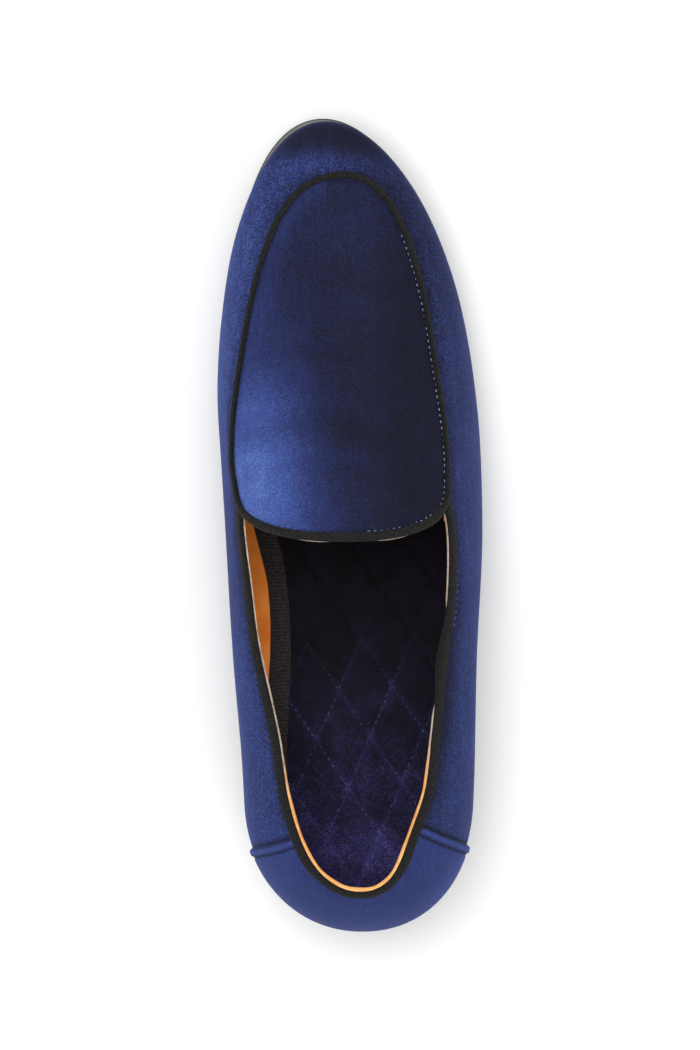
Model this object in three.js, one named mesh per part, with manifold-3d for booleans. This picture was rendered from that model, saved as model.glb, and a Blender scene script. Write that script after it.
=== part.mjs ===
// Velvet slipper loafer for the right foot.
// Millimetres. Toe along +Y, outer side of the foot along +X, up along +Z.

import * as THREE from "three";
import { mergeVertices } from "three/addons/utils/BufferGeometryUtils.js";
import Module from "manifold-3d";

const wasm = await Module();
wasm.setup();

// Overall sizes of the last and sole
const LENGTH = 286;
const BALL_WIDTH = 92.5;
const HEEL_WIDTH = 79.5;
const TOE_ROUND = 110;
const HEEL_ROUND = 44;
const HEEL_POWER = 2.1;
const HEEL_HEIGHT = 18;
const SEAT_PITCH = 1;
const TOE_SPRING = 12;
const TOE_SPRING_POWER = 1.9;
const TREAD_FROM = 0.56;
const TREAD_TO = 0.69;
const SEAT_FRONT = 0.22;
const SPINE_FROM = 0.12;
const SPINE_TO = 0.84;
const TOE_BOX = 30;
const INSTEP = 66.5;
const BACK_HEIGHT = 55;
const ARCH_TUCK = 20;

// Walls, edges and gaps
const GAP = 0.3;
const WALL = 1.6;
const INSOLE_THICKNESS = 4;
const SOLE_THICKNESS = 4.5;
const SOLE_MARGIN = 1.3;
const TOE_MARGIN = 1.3;
const TOE_MARGIN_AT = 1.1 * Math.PI;
const TOE_MARGIN_SPAN = 0.42;
const SOLE_BEVEL = 0.6;
const SOLE_GROOVE_DROP = 1.5;
const SOLE_GROOVE_DEPTH = 0.5;
const SOLE_GROOVE_HEIGHT = 0.7;

// Heel block
const BREAST = 72;
const BREAST_HOLLOW = 4;
const BREAST_SLANT = 3;
const HEEL_INSET = 0.3;
const HEEL_TAPER = 1.6;
const TOP_PIECE = 5.5;
const TOP_PIECE_GROOVE = 0.7;

// Collar, throat and apron
const TAPE_THICKNESS = 0.6;
const TAPE_ROUND = 0.35;
const TAPE_LEG = 2.2;
const TAPE_INNER_LEG = 1.6;
const TAPE_OVERRUN = 1.6;
const THROAT_BACK = 138;
const THROAT_CORNER = 148.5;
const THROAT_POWER = 4;
const PIPING_WIDTH = 3;
const PIPING_HEIGHT = 1.5;
const PIPING_FROM = 93;
const PIPING_TO = 267;

// Counter
const COUNTER_THICKNESS = 0.7;
const COUNTER_FOLD = 0.5;
const COUNTER_FOLD_WIDTH = 1.8;
const COUNTER_TOP_AT = 36;
const COUNTER_TOP_HEIGHT = 78;
const COUNTER_FOOT_AT = 24;
const COUNTER_FOOT_HEIGHT = 20;

// Mesh density
const COLUMNS = 76;
const LOW_ROWS = 3;
const HIGH_ROWS = 7;
const PIPING_STEPS = 50;
const PROFILE_STEPS = 20;
const COLLAR_STEPS = 46;
const THROAT_STEPS = 18;
const SKIRT = 8;
const REACH = 90;
const CEILING = 130;
const CUTTER_OUT = 5;
const CUTTER_IN = 7;
const CUTTER_FLOOR = 42;
const HALVINGS = 40;

// Share of length, spread from heel width to ball width, centre line in shares of ball width
const OUTLINE = [
  { at: 0.0, spread: 0.0, centre: 0.046 },
  { at: 0.1, spread: 0.0, centre: 0.034 },
  { at: 0.2, spread: 0.2, centre: 0.031 },
  { at: 0.33, spread: 0.5, centre: 0.018 },
  { at: 0.5, spread: 0.93, centre: 0.013 },
  { at: 0.6, spread: 1.0, centre: -0.001 },
  { at: 0.66, spread: 1.0, centre: -0.014 },
  { at: 0.72, spread: 1.0, centre: -0.024 },
  { at: 0.78, spread: 1.0, centre: -0.034 },
  { at: 0.84, spread: 1.0, centre: -0.048 },
  { at: 0.9, spread: 1.0, centre: -0.062 },
  { at: 1.0, spread: 1.0, centre: -0.093 },
];

// Share of length, ridge line in shares of ball width, ridge height between toe box and instep
const RIDGE = [
  { at: 0.12, side: 0.034, height: 0.91 },
  { at: 0.19, side: 0.032, height: 0.775 },
  { at: 0.25, side: 0.026, height: 0.725 },
  { at: 0.32, side: 0.014, height: 0.765 },
  { at: 0.38, side: -0.003, height: 0.84 },
  { at: 0.43, side: -0.016, height: 0.925 },
  { at: 0.485, side: -0.034, height: 1.0 },
  { at: 0.54, side: -0.052, height: 0.93 },
  { at: 0.6, side: -0.068, height: 0.71 },
  { at: 0.65, side: -0.077, height: 0.51 },
  { at: 0.7, side: -0.083, height: 0.335 },
  { at: 0.75, side: -0.087, height: 0.18 },
  { at: 0.8, side: -0.091, height: 0.055 },
  { at: 0.84, side: -0.093, height: 0.0 },
];

// Share of length, height of the widest line over the sole, fullness and tuck of each side
const SECTION = [
  { at: 0.0, bulge: 19, fullIn: 2.05, fullOut: 2.05, tuckIn: 0.21, tuckOut: 0.21 },
  { at: 0.1, bulge: 19, fullIn: 2.15, fullOut: 2.02, tuckIn: 0.25, tuckOut: 0.25 },
  { at: 0.2, bulge: 20, fullIn: 2.18, fullOut: 2.02, tuckIn: 0.55, tuckOut: 0.32 },
  { at: 0.3, bulge: 23, fullIn: 2.1, fullOut: 1.95, tuckIn: 0.92, tuckOut: 0.45 },
  { at: 0.4, bulge: 25, fullIn: 2.12, fullOut: 1.92, tuckIn: 1.0, tuckOut: 0.5 },
  { at: 0.5, bulge: 20, fullIn: 2.5, fullOut: 1.98, tuckIn: 0.75, tuckOut: 0.38 },
  { at: 0.6, bulge: 14, fullIn: 2.8, fullOut: 1.95, tuckIn: 0.3, tuckOut: 0.22 },
  { at: 0.7, bulge: 12, fullIn: 2.7, fullOut: 1.95, tuckIn: 0.2, tuckOut: 0.18 },
  { at: 0.8, bulge: 11, fullIn: 2.5, fullOut: 2.0, tuckIn: 0.16, tuckOut: 0.16 },
  { at: 0.9, bulge: 10, fullIn: 2.3, fullOut: 2.1, tuckIn: 0.12, tuckOut: 0.12 },
  { at: 1.0, bulge: 9, fullIn: 2.2, fullOut: 2.2, tuckIn: 0.08, tuckOut: 0.08 },
];

// Share of length, collar height over the sole in shares of the back height
const COLLAR = [
  { at: 0.0, height: 1.02 },
  { at: 0.05, height: 1.005 },
  { at: 0.1, height: 0.96 },
  { at: 0.18, height: 0.89 },
  { at: 0.27, height: 0.845 },
  { at: 0.36, height: 0.84 },
  { at: 0.43, height: 0.88 },
  { at: 0.48, height: 0.905 },
  { at: 0.54, height: 0.925 },
  { at: 0.6, height: 0.935 },
];

// Degrees round the outline from the heel, reach from the ridge line to the widest line
const APRON = [
  { at: 90, reach: 0.74 },
  { at: 96, reach: 0.752 },
  { at: 101, reach: 0.764 },
  { at: 107, reach: 0.76 },
  { at: 115, reach: 0.749 },
  { at: 122, reach: 0.754 },
  { at: 134, reach: 0.774 },
  { at: 142, reach: 0.785 },
  { at: 149, reach: 0.779 },
  { at: 156, reach: 0.752 },
  { at: 163, reach: 0.695 },
  { at: 172, reach: 0.606 },
  { at: 180, reach: 0.563 },
  { at: 187, reach: 0.559 },
  { at: 200, reach: 0.607 },
  { at: 212, reach: 0.67 },
  { at: 220, reach: 0.704 },
  { at: 227, reach: 0.733 },
  { at: 236, reach: 0.768 },
  { at: 246, reach: 0.812 },
  { at: 251, reach: 0.842 },
  { at: 257, reach: 0.882 },
  { at: 261, reach: 0.897 },
  { at: 265, reach: 0.87 },
  { at: 270, reach: 0.84 },
];

// Piping section: share of half width across, share of height out from the upper
const PIPING_SECTION = [
  { across: 1.0, out: -0.4 },
  { across: 1.0, out: 0.45 },
  { across: 0.8, out: 0.82 },
  { across: 0.35, out: 1.0 },
  { across: -0.35, out: 1.0 },
  { across: -0.8, out: 0.82 },
  { across: -1.0, out: 0.45 },
  { across: -1.0, out: -0.4 },
].map((row) => [(row.across * PIPING_WIDTH) / 2, GAP + row.out * PIPING_HEIGHT]);

// Tape section: distance from the wall's edge into the wall, height over the wall's outside
const TAPE_LIP = GAP + TAPE_THICKNESS;
const TAPE_SECTION = [
  [TAPE_LEG, -WALL / 2],
  [TAPE_LEG, GAP + TAPE_THICKNESS - TAPE_ROUND],
  [TAPE_LEG - TAPE_ROUND, TAPE_LIP],
  [TAPE_ROUND - TAPE_LIP, TAPE_LIP],
  [-TAPE_LIP, GAP - TAPE_ROUND],
  [-TAPE_LIP, TAPE_ROUND - WALL - GAP],
  [TAPE_ROUND - TAPE_LIP, -WALL - TAPE_LIP],
  [TAPE_INNER_LEG, -WALL - TAPE_LIP],
  [TAPE_INNER_LEG + GAP, -WALL / 2],
];

const clamp = THREE.MathUtils.clamp;

/** Smooth curve through a table's column, with weighted slopes inside and plain ones at the ends. */
function curve(table, key) {
  const xs = table.map((row) => row.at);
  const ys = table.map((row) => row[key]);
  const last = xs.length - 1;
  const slope = (i) => (ys[i + 1] - ys[i]) / (xs[i + 1] - xs[i]);
  const span = (i) => xs[i + 1] - xs[i];
  const tangents = xs.map((_, i) => {
    if (i === 0) return slope(0);
    if (i === last) return slope(last - 1);
    return (slope(i - 1) * span(i) + slope(i) * span(i - 1)) / (span(i - 1) + span(i));
  });
  return (x) => {
    const at = clamp(x, xs[0], xs[last]);
    let i = 0;
    while (i < last - 1 && at > xs[i + 1]) i += 1;
    const h = span(i);
    const s = (at - xs[i]) / h;
    const s2 = s * s;
    const s3 = s2 * s;
    return (
      ys[i] * (2 * s3 - 3 * s2 + 1) +
      tangents[i] * h * (s3 - 2 * s2 + s) +
      ys[i + 1] * (3 * s2 - 2 * s3) +
      tangents[i + 1] * h * (s3 - s2)
    );
  };
}

const spreadAt = curve(OUTLINE, "spread");
const centreAt = curve(OUTLINE, "centre");
const ridgeSideAt = curve(RIDGE, "side");
const ridgeHeightAt = curve(RIDGE, "height");
const bulgeAt = curve(SECTION, "bulge");
const fullInAt = curve(SECTION, "fullIn");
const fullOutAt = curve(SECTION, "fullOut");
const tuckInAt = curve(SECTION, "tuckIn");
const tuckOutAt = curve(SECTION, "tuckOut");
const collarAt = curve(COLLAR, "height");
const apronAt = curve(APRON, "reach");

/** Half of the outline's width at a share of the length. */
function halfWidth(t) {
  const full = 0.5 * (HEEL_WIDTH + (BALL_WIDTH - HEEL_WIDTH) * spreadAt(t));
  const heel = clamp(1 - (t * LENGTH) / HEEL_ROUND, 0, 1);
  const toe = clamp(1 - ((1 - t) * LENGTH) / TOE_ROUND, 0, 1);
  return full * Math.pow(1 - Math.pow(heel, HEEL_POWER), 1 / HEEL_POWER) * Math.sqrt(1 - toe * toe);
}

/** Height of the sole's underside: flat tread, toe spring, arch and heel seat. */
function soleBottom(t) {
  const ahead = Math.max((t - TREAD_TO) / (1 - TREAD_TO), 0);
  const rise = clamp((TREAD_FROM - t) / (TREAD_FROM - SEAT_FRONT), 0, 1);
  const seat = Math.max((SEAT_FRONT - t) / SEAT_FRONT, 0);
  return TOE_SPRING * Math.pow(ahead, TOE_SPRING_POWER) + HEEL_HEIGHT * rise * rise * (3 - 2 * rise) + SEAT_PITCH * seat;
}

const soleTop = (t) => soleBottom(t) + SOLE_THICKNESS;
const collarHeight = (t) => soleTop(t) + BACK_HEIGHT * collarAt(t);

/** The section under one column of the last: widest point, ridge point, fullness and tuck. */
function columnAt(angle) {
  const t = (1 - Math.cos(angle)) / 2;
  const outer = Math.sin(angle) >= 0;
  const side = outer ? 1 : -1;
  const ts = SPINE_FROM + (SPINE_TO - SPINE_FROM) * t;
  return {
    t,
    wide: new THREE.Vector2(centreAt(t) * BALL_WIDTH + side * halfWidth(t), t * LENGTH),
    ridge: new THREE.Vector2(ridgeSideAt(ts) * BALL_WIDTH, ts * LENGTH),
    ridgeHeight: soleTop(ts) + TOE_BOX + (INSTEP - TOE_BOX) * ridgeHeightAt(ts),
    full: outer ? fullOutAt(t) : fullInAt(t),
    tuck: ARCH_TUCK * (outer ? tuckOutAt(t) : tuckInAt(t)),
    bulge: bulgeAt(t),
  };
}

/** Point of the last: rise runs from -1 at the feather edge by 0 at the widest line to 1 at the ridge. */
function lastPoint(angle, rise) {
  const c = columnAt(angle);
  const low = Math.max(-rise, 0);
  const turn = (clamp(rise, 0, 1) * Math.PI) / 2;
  const reach = c.wide.distanceTo(c.ridge);
  const out = rise < 0 ? 1 - (c.tuck * low * low) / reach : Math.pow(Math.max(Math.cos(turn), 0), 2 / c.full);
  const wideHeight = soleTop(c.t) + c.bulge;
  const up = Math.pow(Math.sin(turn), 2 / c.full);
  const height = rise < 0 ? wideHeight - c.bulge * low : wideHeight + (c.ridgeHeight - wideHeight) * up;
  const plan = c.ridge.clone().lerp(c.wide, rise >= 1 ? 0 : out);
  return new THREE.Vector3(plan.x, plan.y, height);
}

/** Rise of the point whose reach from ridge to widest line is given. */
function riseOfReach(angle, reach) {
  return (2 / Math.PI) * Math.acos(Math.pow(reach, columnAt(angle).full / 2));
}

/** Outward normal of the last from small steps both ways. */
function lastNormal(angle, rise) {
  const step = 0.004;
  const along = lastPoint(angle + step, rise).sub(lastPoint(angle - step, rise));
  const up = lastPoint(angle, rise + step).sub(lastPoint(angle, rise - step));
  return along.cross(up).normalize();
}

// Solids from triangles

/** Manifold solid of a point list and its triangles. */
function solidOf(points, faces) {
  const mesh = new wasm.Mesh({
    numProp: 3,
    vertProperties: new Float32Array(points.flatMap((p) => [p.x, p.y, p.z])),
    triVerts: new Uint32Array(faces.flat()),
  });
  mesh.merge();
  return new wasm.Manifold(mesh);
}

/** Manifold solid of a closed three.js geometry. */
function solidOfGeometry(source) {
  const bare = new THREE.BufferGeometry();
  bare.setAttribute("position", source.getAttribute("position"));
  if (source.index) bare.setIndex(source.index);
  const joined = mergeVertices(bare, 1e-4);
  const position = joined.getAttribute("position");
  const points = Array.from({ length: position.count }, (_, i) => new THREE.Vector3().fromBufferAttribute(position, i));
  const index = Array.from(joined.index.array);
  const faces = [];
  for (let i = 0; i < index.length; i += 3) faces.push(index.slice(i, i + 3));
  return solidOf(points, faces);
}

/** Prism of a side profile, given as [y, z] pairs, right across the shoe. */
function sidePrism(profile) {
  const shape = new THREE.Shape(profile.map(([y, z]) => new THREE.Vector2(y, z)));
  const prism = new THREE.ExtrudeGeometry(shape, { depth: 2 * REACH, bevelEnabled: false });
  const turn = new THREE.Matrix4().makeBasis(
    new THREE.Vector3(0, 1, 0),
    new THREE.Vector3(0, 0, 1),
    new THREE.Vector3(1, 0, 0),
  );
  return solidOfGeometry(prism.applyMatrix4(turn).translate(-REACH, 0, 0));
}

/** Prism of a plan outline, given as [x, y] pairs, from one height to another. */
function planPrism(outline, from, to) {
  const shape = new THREE.Shape(outline.map(([x, y]) => new THREE.Vector2(x, y)));
  const prism = new THREE.ExtrudeGeometry(shape, { depth: to - from, bevelEnabled: false });
  return solidOfGeometry(prism.translate(0, 0, from));
}

/** The biggest single body of a solid. */
function biggest(solid) {
  return solid.decompose().sort((a, b) => b.volume() - a.volume())[0];
}

/** Side walls between rings of COLUMNS points, listed from the lowest ring upward. */
function ringWalls(rings) {
  const faces = [];
  for (let i = 0; i < rings - 1; i += 1) {
    for (let j = 0; j < COLUMNS; j += 1) {
      const a = i * COLUMNS + j;
      const b = i * COLUMNS + ((j + 1) % COLUMNS);
      faces.push([a, b, b + COLUMNS], [a, b + COLUMNS, a + COLUMNS]);
    }
  }
  return faces;
}

/** Lid of one ring, made of level strips between the two sides of the shoe. */
function ringLid(ring, facesUp) {
  const faces = [];
  const at = (j) => ring * COLUMNS + (j % COLUMNS);
  for (let j = 0; j < COLUMNS / 2; j += 1) {
    if (j > 0) faces.push([at(j), at(COLUMNS - j - 1), at(COLUMNS - j)]);
    if (j < COLUMNS / 2 - 1) faces.push([at(j), at(j + 1), at(COLUMNS - j - 1)]);
  }
  faces.push([at(0), at(1), at(COLUMNS - 1)]);
  const unique = new Map(faces.map((face) => [[...face].sort((a, b) => a - b).join(), face]));
  return [...unique.values()].map(([a, b, c]) => (facesUp ? [a, b, c] : [a, c, b]));
}

/** Solid of stacked rings with a lid at each end. */
function ringSolid(rings) {
  const faces = [...ringWalls(rings.length), ...ringLid(0, false), ...ringLid(rings.length - 1, true)];
  return solidOf(rings.flat(), faces);
}

// The last as a mesh that can be grown or shrunk

const angles = Array.from({ length: COLUMNS }, (_, j) => (2 * Math.PI * j) / COLUMNS);
const rises = [
  ...Array.from({ length: LOW_ROWS }, (_, i) => i / LOW_ROWS - 1),
  ...Array.from({ length: HIGH_ROWS }, (_, i) => i / HIGH_ROWS),
];
const baseRings = rises.map((rise) => angles.map((angle) => lastPoint(angle, rise)));
const baseRidge = angles.slice(0, COLUMNS / 2 + 1).map((angle) => lastPoint(angle, 1));

/** Faces of a last with a given number of rings, whose ridge points come after the rings. */
function lastFaces(rings) {
  const top = (rings - 1) * COLUMNS;
  const ridge = (j) => rings * COLUMNS + Math.min(j % COLUMNS, COLUMNS - (j % COLUMNS));
  const roof = angles.flatMap((_, j) => [
    [top + j, top + ((j + 1) % COLUMNS), ridge(j + 1)],
    [top + j, ridge(j + 1), ridge(j)],
  ]);
  return [...ringWalls(rings), ...roof];
}

/** Vertex normals of the last's skin, from the areas of the faces that meet there. */
function skinNormals() {
  const points = [...baseRings.flat(), ...baseRidge];
  const normals = points.map(() => new THREE.Vector3());
  for (const [a, b, c] of lastFaces(baseRings.length)) {
    const area = points[b].clone().sub(points[a]).cross(points[c].clone().sub(points[a]));
    for (const corner of [a, b, c]) normals[corner].add(area);
  }
  return normals.map((normal) => normal.normalize());
}

const baseNormals = skinNormals();

/** Rings and ridge of the last moved out along its normals. */
function grownLast(distance) {
  const points = [...baseRings.flat(), ...baseRidge].map((p, i) => p.clone().addScaledVector(baseNormals[i], distance));
  const count = baseRings.length * COLUMNS;
  const rings = baseRings.map((_, i) => points.slice(i * COLUMNS, (i + 1) * COLUMNS));
  return { rings, ridge: points.slice(count) };
}

/** Closed last grown by a distance, with a skirt that runs on below the feather edge. */
function lastBody(distance, skirt) {
  const { rings, ridge } = grownLast(distance);
  const below = skirt > 0 ? [rings[0].map((p) => new THREE.Vector3(p.x, p.y, p.z - skirt))] : [];
  const all = [...below, ...rings];
  return solidOf([...all.flat(), ...ridge], [...lastFaces(all.length), ...ringLid(0, false)]);
}

/** Steps of a number range, both ends in. */
function steps(from, to, count) {
  return Array.from({ length: count + 1 }, (_, i) => from + ((to - from) * i) / count);
}

/** Root of a function between two bounds where its sign changes, by halving. */
function rootOf(f, from, to) {
  const start = Math.sign(f(from));
  let low = from;
  let high = to;
  for (let i = 0; i < HALVINGS; i += 1) {
    const middle = (low + high) / 2;
    if (Math.sign(f(middle)) === start) low = middle;
    else high = middle;
  }
  return (low + high) / 2;
}

// The edge of the foot opening

/** Place on the last given by its angle and rise, with the outward normal. */
function placeAt(angle, rise) {
  return { point: lastPoint(angle, rise), normal: lastNormal(angle, rise) };
}

/** Place where one column of the last reaches the collar line. */
function collarPlace(angle) {
  const over = (rise) => {
    const p = lastPoint(angle, rise);
    return p.z - collarHeight(p.y / LENGTH);
  };
  return placeAt(angle, rootOf(over, 0, 1));
}

/** Place on the last over a plan point of the front half. */
function placeOver(x, y) {
  const p = new THREE.Vector2(x, y);
  const side = x >= columnAt(Math.PI * 0.5).ridge.x ? 1 : -1;
  const miss = (angle) => {
    const c = columnAt(side * angle);
    return c.wide.clone().sub(c.ridge).cross(p.clone().sub(c.ridge));
  };
  const angle = side * rootOf(miss, Math.PI * 0.4, Math.PI * 0.98);
  const c = columnAt(angle);
  const reach = clamp(p.distanceTo(c.ridge) / c.wide.distanceTo(c.ridge), 0, 1);
  return placeAt(angle, Math.min(riseOfReach(angle, reach), 0.995));
}

/** Tangent and wall-ward side of each place along an open line. */
function framed(places) {
  return places.map((place, i) => {
    const before = places[Math.max(i - 1, 0)].point;
    const after = places[Math.min(i + 1, places.length - 1)].point;
    const along = after.clone().sub(before).normalize();
    const side = place.normal.clone().cross(along).normalize();
    return { ...place, along, side };
  });
}

const cornerMiss = (side) => (angle) => collarPlace(side * angle).point.y - THROAT_CORNER;
const cornerAngle = (side) => side * rootOf(cornerMiss(side), Math.PI * 0.3, Math.PI * 0.7);
const collarLine = framed(steps(cornerAngle(1), cornerAngle(-1), COLLAR_STEPS).map(collarPlace));
const outerCorner = collarLine[0].point;
const innerCorner = collarLine[COLLAR_STEPS].point;
const throatLine = framed([
  collarLine[COLLAR_STEPS],
  ...steps(-1, 1, THROAT_STEPS)
    .slice(1, -1)
    .map((share) => {
      const x = innerCorner.x + ((outerCorner.x - innerCorner.x) * (1 + share)) / 2;
      const y = THROAT_BACK + (THROAT_CORNER - THROAT_BACK) * Math.pow(Math.abs(share), THROAT_POWER);
      return placeOver(x, y);
    }),
  collarLine[0],
]);

/** Closed ring of places round the opening, moved into the wall by a distance, with mitred corners. */
function openingRing(distance) {
  const mitre = (one, other) => {
    const sum = one.side.clone().add(other.side);
    return sum.multiplyScalar(distance / (1 + one.side.dot(other.side)));
  };
  const moved = (place) => ({ point: place.point.clone().addScaledVector(place.side, distance), normal: place.normal });
  const corner = (one, other) => ({ point: one.point.clone().add(mitre(one, other)), normal: one.normal });
  return [
    corner(collarLine[0], throatLine[THROAT_STEPS]),
    ...collarLine.slice(1, -1).map(moved),
    corner(collarLine[COLLAR_STEPS], throatLine[0]),
    ...throatLine.slice(1, -1).map(moved),
  ];
}

/** Cutter for the foot opening: square to the wall all round, closed over and under. */
function openingCutter(distance) {
  const ring = openingRing(distance);
  const count = ring.length;
  const outside = ring.map((place) => place.point.clone().addScaledVector(place.normal, CUTTER_OUT));
  const inside = ring.map((place) => place.point.clone().addScaledVector(place.normal, -CUTTER_IN));
  const middle = new THREE.Vector3(0, THROAT_BACK / 2, 0);
  const over = middle.clone().setZ(CEILING);
  const under = middle.clone().setZ(CUTTER_FLOOR);
  const faces = ring.flatMap((_, i) => {
    const next = (i + 1) % count;
    return [
      [i, next, count + next],
      [i, count + next, count + i],
      [next, i, 2 * count],
      [count + i, count + next, 2 * count + 1],
    ];
  });
  return solidOf([...outside, ...inside, over, under], faces);
}

/** Solid swept along framed places; the convex section gives [side, out] pairs. */
function sweep(line, section) {
  const across = section.length;
  const points = line.flatMap((place) =>
    section.map(([side, out]) =>
      place.point.clone().addScaledVector(place.side, side).addScaledVector(place.normal, out),
    ),
  );
  const faces = [];
  for (let i = 0; i < line.length - 1; i += 1) {
    for (let j = 0; j < across; j += 1) {
      const a = i * across + j;
      const b = i * across + ((j + 1) % across);
      faces.push([a, b, b + across], [a, b + across, a + across]);
    }
  }
  const end = (line.length - 1) * across;
  for (let j = 1; j < across - 1; j += 1) faces.push([0, j + 1, j], [end, end + j, end + j + 1]);
  return solidOf(points, faces);
}

/** A framed line with both ends run on in a straight line. */
function overrun(line, distance) {
  const first = line[0];
  const last = line[line.length - 1];
  return [
    { ...first, point: first.point.clone().addScaledVector(first.along, -distance) },
    ...line,
    { ...last, point: last.point.clone().addScaledVector(last.along, distance) },
  ];
}

// Upper, binding, counter and piping

const clearSkin = lastBody(GAP, SKIRT);
const shell = lastBody(0, 0).subtract(lastBody(-WALL, SKIRT));
const upper = biggest(shell.subtract(openingCutter(0)));
const tapeClear = openingCutter(TAPE_LEG + GAP);

/** Folded tape over the edge of the foot opening. */
function makeBinding() {
  const core = clearSkin.subtract(lastBody(-WALL - GAP, SKIRT)).subtract(openingCutter(-GAP));
  const collar = sweep(overrun(collarLine, TAPE_OVERRUN), TAPE_SECTION);
  const throat = sweep(overrun(throatLine, TAPE_OVERRUN), TAPE_SECTION);
  return biggest(collar.add(throat).subtract(core));
}

/** Back panel with a folded front edge. */
function makeCounter() {
  const lean = (COUNTER_TOP_AT - COUNTER_FOOT_AT) / (COUNTER_TOP_HEIGHT - COUNTER_FOOT_HEIGHT);
  const seamAt = (z) => COUNTER_FOOT_AT + lean * (z - COUNTER_FOOT_HEIGHT);
  const back = -20;
  const foot = soleTop(COUNTER_FOOT_AT / LENGTH) + GAP;
  const panelFoot = steps(back, seamAt(foot), 6).map((y) => [y, soleTop(clamp(y / LENGTH, 0, 1)) + GAP]);
  const panel = sidePrism([...panelFoot, [seamAt(CEILING), CEILING], [back, CEILING]]);
  const fold = sidePrism([
    [seamAt(foot) - COUNTER_FOLD_WIDTH, foot],
    [seamAt(foot), foot],
    [seamAt(CEILING), CEILING],
    [seamAt(CEILING) - COUNTER_FOLD_WIDTH, CEILING],
  ]);
  const sheet = lastBody(GAP + COUNTER_THICKNESS, SKIRT).intersect(panel);
  const edge = lastBody(GAP + COUNTER_THICKNESS + COUNTER_FOLD, SKIRT).intersect(fold);
  return biggest(sheet.add(edge).subtract(clearSkin).subtract(tapeClear));
}

/** Raised piping round the apron, swept along the upper and cut to sit on it. */
function makePiping() {
  const places = steps(PIPING_FROM, PIPING_TO, PIPING_STEPS).map((degrees) => {
    const angle = THREE.MathUtils.degToRad(degrees);
    return placeAt(angle, riseOfReach(angle, apronAt(degrees)));
  });
  const bead = sweep(framed(places), PIPING_SECTION);
  return biggest(bead.subtract(clearSkin).subtract(tapeClear));
}

// Sole, heel and insole

/** Outline of the sole, a margin outside the feather edge, at a height given for each column. */
function soleRing(extra, heightAt) {
  const feather = baseRings[0];
  return feather.map((point, j) => {
    const before = feather[(j + COLUMNS - 1) % COLUMNS];
    const after = feather[(j + 1) % COLUMNS];
    const along = new THREE.Vector2(after.x - before.x, after.y - before.y).normalize();
    const toe = Math.exp(-Math.pow((angles[j] - TOE_MARGIN_AT) / TOE_MARGIN_SPAN, 2));
    const out = SOLE_MARGIN + TOE_MARGIN * toe + extra;
    const t = (1 - Math.cos(angles[j])) / 2;
    return new THREE.Vector3(point.x + along.y * out, point.y - along.x * out, heightAt(t));
  });
}

/** Outsole with bevelled edges and a groove round its side. */
function makeOutsole() {
  const top = (t) => soleTop(t) - GAP;
  const groove = (drop) => (t) => top(t) - SOLE_GROOVE_DROP - drop * SOLE_GROOVE_HEIGHT;
  return ringSolid([
    soleRing(-SOLE_BEVEL, soleBottom),
    soleRing(0, (t) => soleBottom(t) + SOLE_BEVEL),
    soleRing(0, groove(1)),
    soleRing(-SOLE_GROOVE_DEPTH, groove(0.8)),
    soleRing(-SOLE_GROOVE_DEPTH, groove(0.2)),
    soleRing(0, groove(0)),
    soleRing(0, (t) => top(t) - SOLE_BEVEL / 2),
    soleRing(-SOLE_BEVEL / 2, top),
  ]);
}

/** Heel block with a tapered side, a groove over the top piece and a hollow breast. */
function makeHeel() {
  const level = (inset, z) => soleRing(-HEEL_INSET - inset, () => z);
  const taper = (z) => HEEL_TAPER * (1 - z / HEEL_HEIGHT);
  const block = ringSolid([
    level(taper(0) + SOLE_BEVEL, 0),
    level(taper(0), SOLE_BEVEL),
    level(taper(TOP_PIECE), TOP_PIECE),
    level(taper(TOP_PIECE) + TOP_PIECE_GROOVE, TOP_PIECE + 0.1),
    level(taper(TOP_PIECE) + TOP_PIECE_GROOVE, TOP_PIECE + TOP_PIECE_GROOVE),
    level(taper(TOP_PIECE), TOP_PIECE + TOP_PIECE_GROOVE + 0.1),
    level(0, HEEL_HEIGHT),
    level(0, HEEL_HEIGHT + 2 * SEAT_PITCH),
  ]);
  const back = -20;
  const roof = steps(BREAST + BREAST_SLANT, back, PROFILE_STEPS).map((y) => [y, soleBottom(clamp(y / LENGTH, 0, 1)) - GAP]);
  const profile = sidePrism([[back, -1], [BREAST - BREAST_SLANT, -1], ...roof]);
  const hollow = steps(HEEL_WIDTH, -HEEL_WIDTH, PROFILE_STEPS).map((x) => {
    const share = x / (HEEL_WIDTH / 2);
    return [x, BREAST + BREAST_SLANT - BREAST_HOLLOW * Math.max(1 - share * share, 0)];
  });
  const plan = planPrism([[-HEEL_WIDTH, back], [HEEL_WIDTH, back], ...hollow], -1, HEEL_HEIGHT + 2 * SEAT_PITCH + 1);
  return biggest(block.intersect(profile).intersect(plan));
}

/** Insole inside the upper, from the outsole to its own thickness. */
function makeInsole() {
  const { rings } = grownLast(-WALL - 2 * GAP);
  const skirt = rings[0].map((p) => new THREE.Vector3(p.x, p.y, p.z - SKIRT));
  const columns = angles.map((_, j) => [skirt[j], ...rings.map((ring) => ring[j])]);
  const cut = (height) =>
    columns.map((column, j) => {
      const level = soleTop((1 - Math.cos(angles[j])) / 2) + height;
      const over = (p) => p.z - level;
      let i = 1;
      while (over(column[i]) < 0) i += 1;
      const share = over(column[i - 1]) / (over(column[i - 1]) - over(column[i]));
      return column[i - 1].clone().lerp(column[i], share);
    });
  return ringSolid([cut(0), cut(INSOLE_THICKNESS / 2), cut(INSOLE_THICKNESS)]);
}

// Named parts with their own materials

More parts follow.
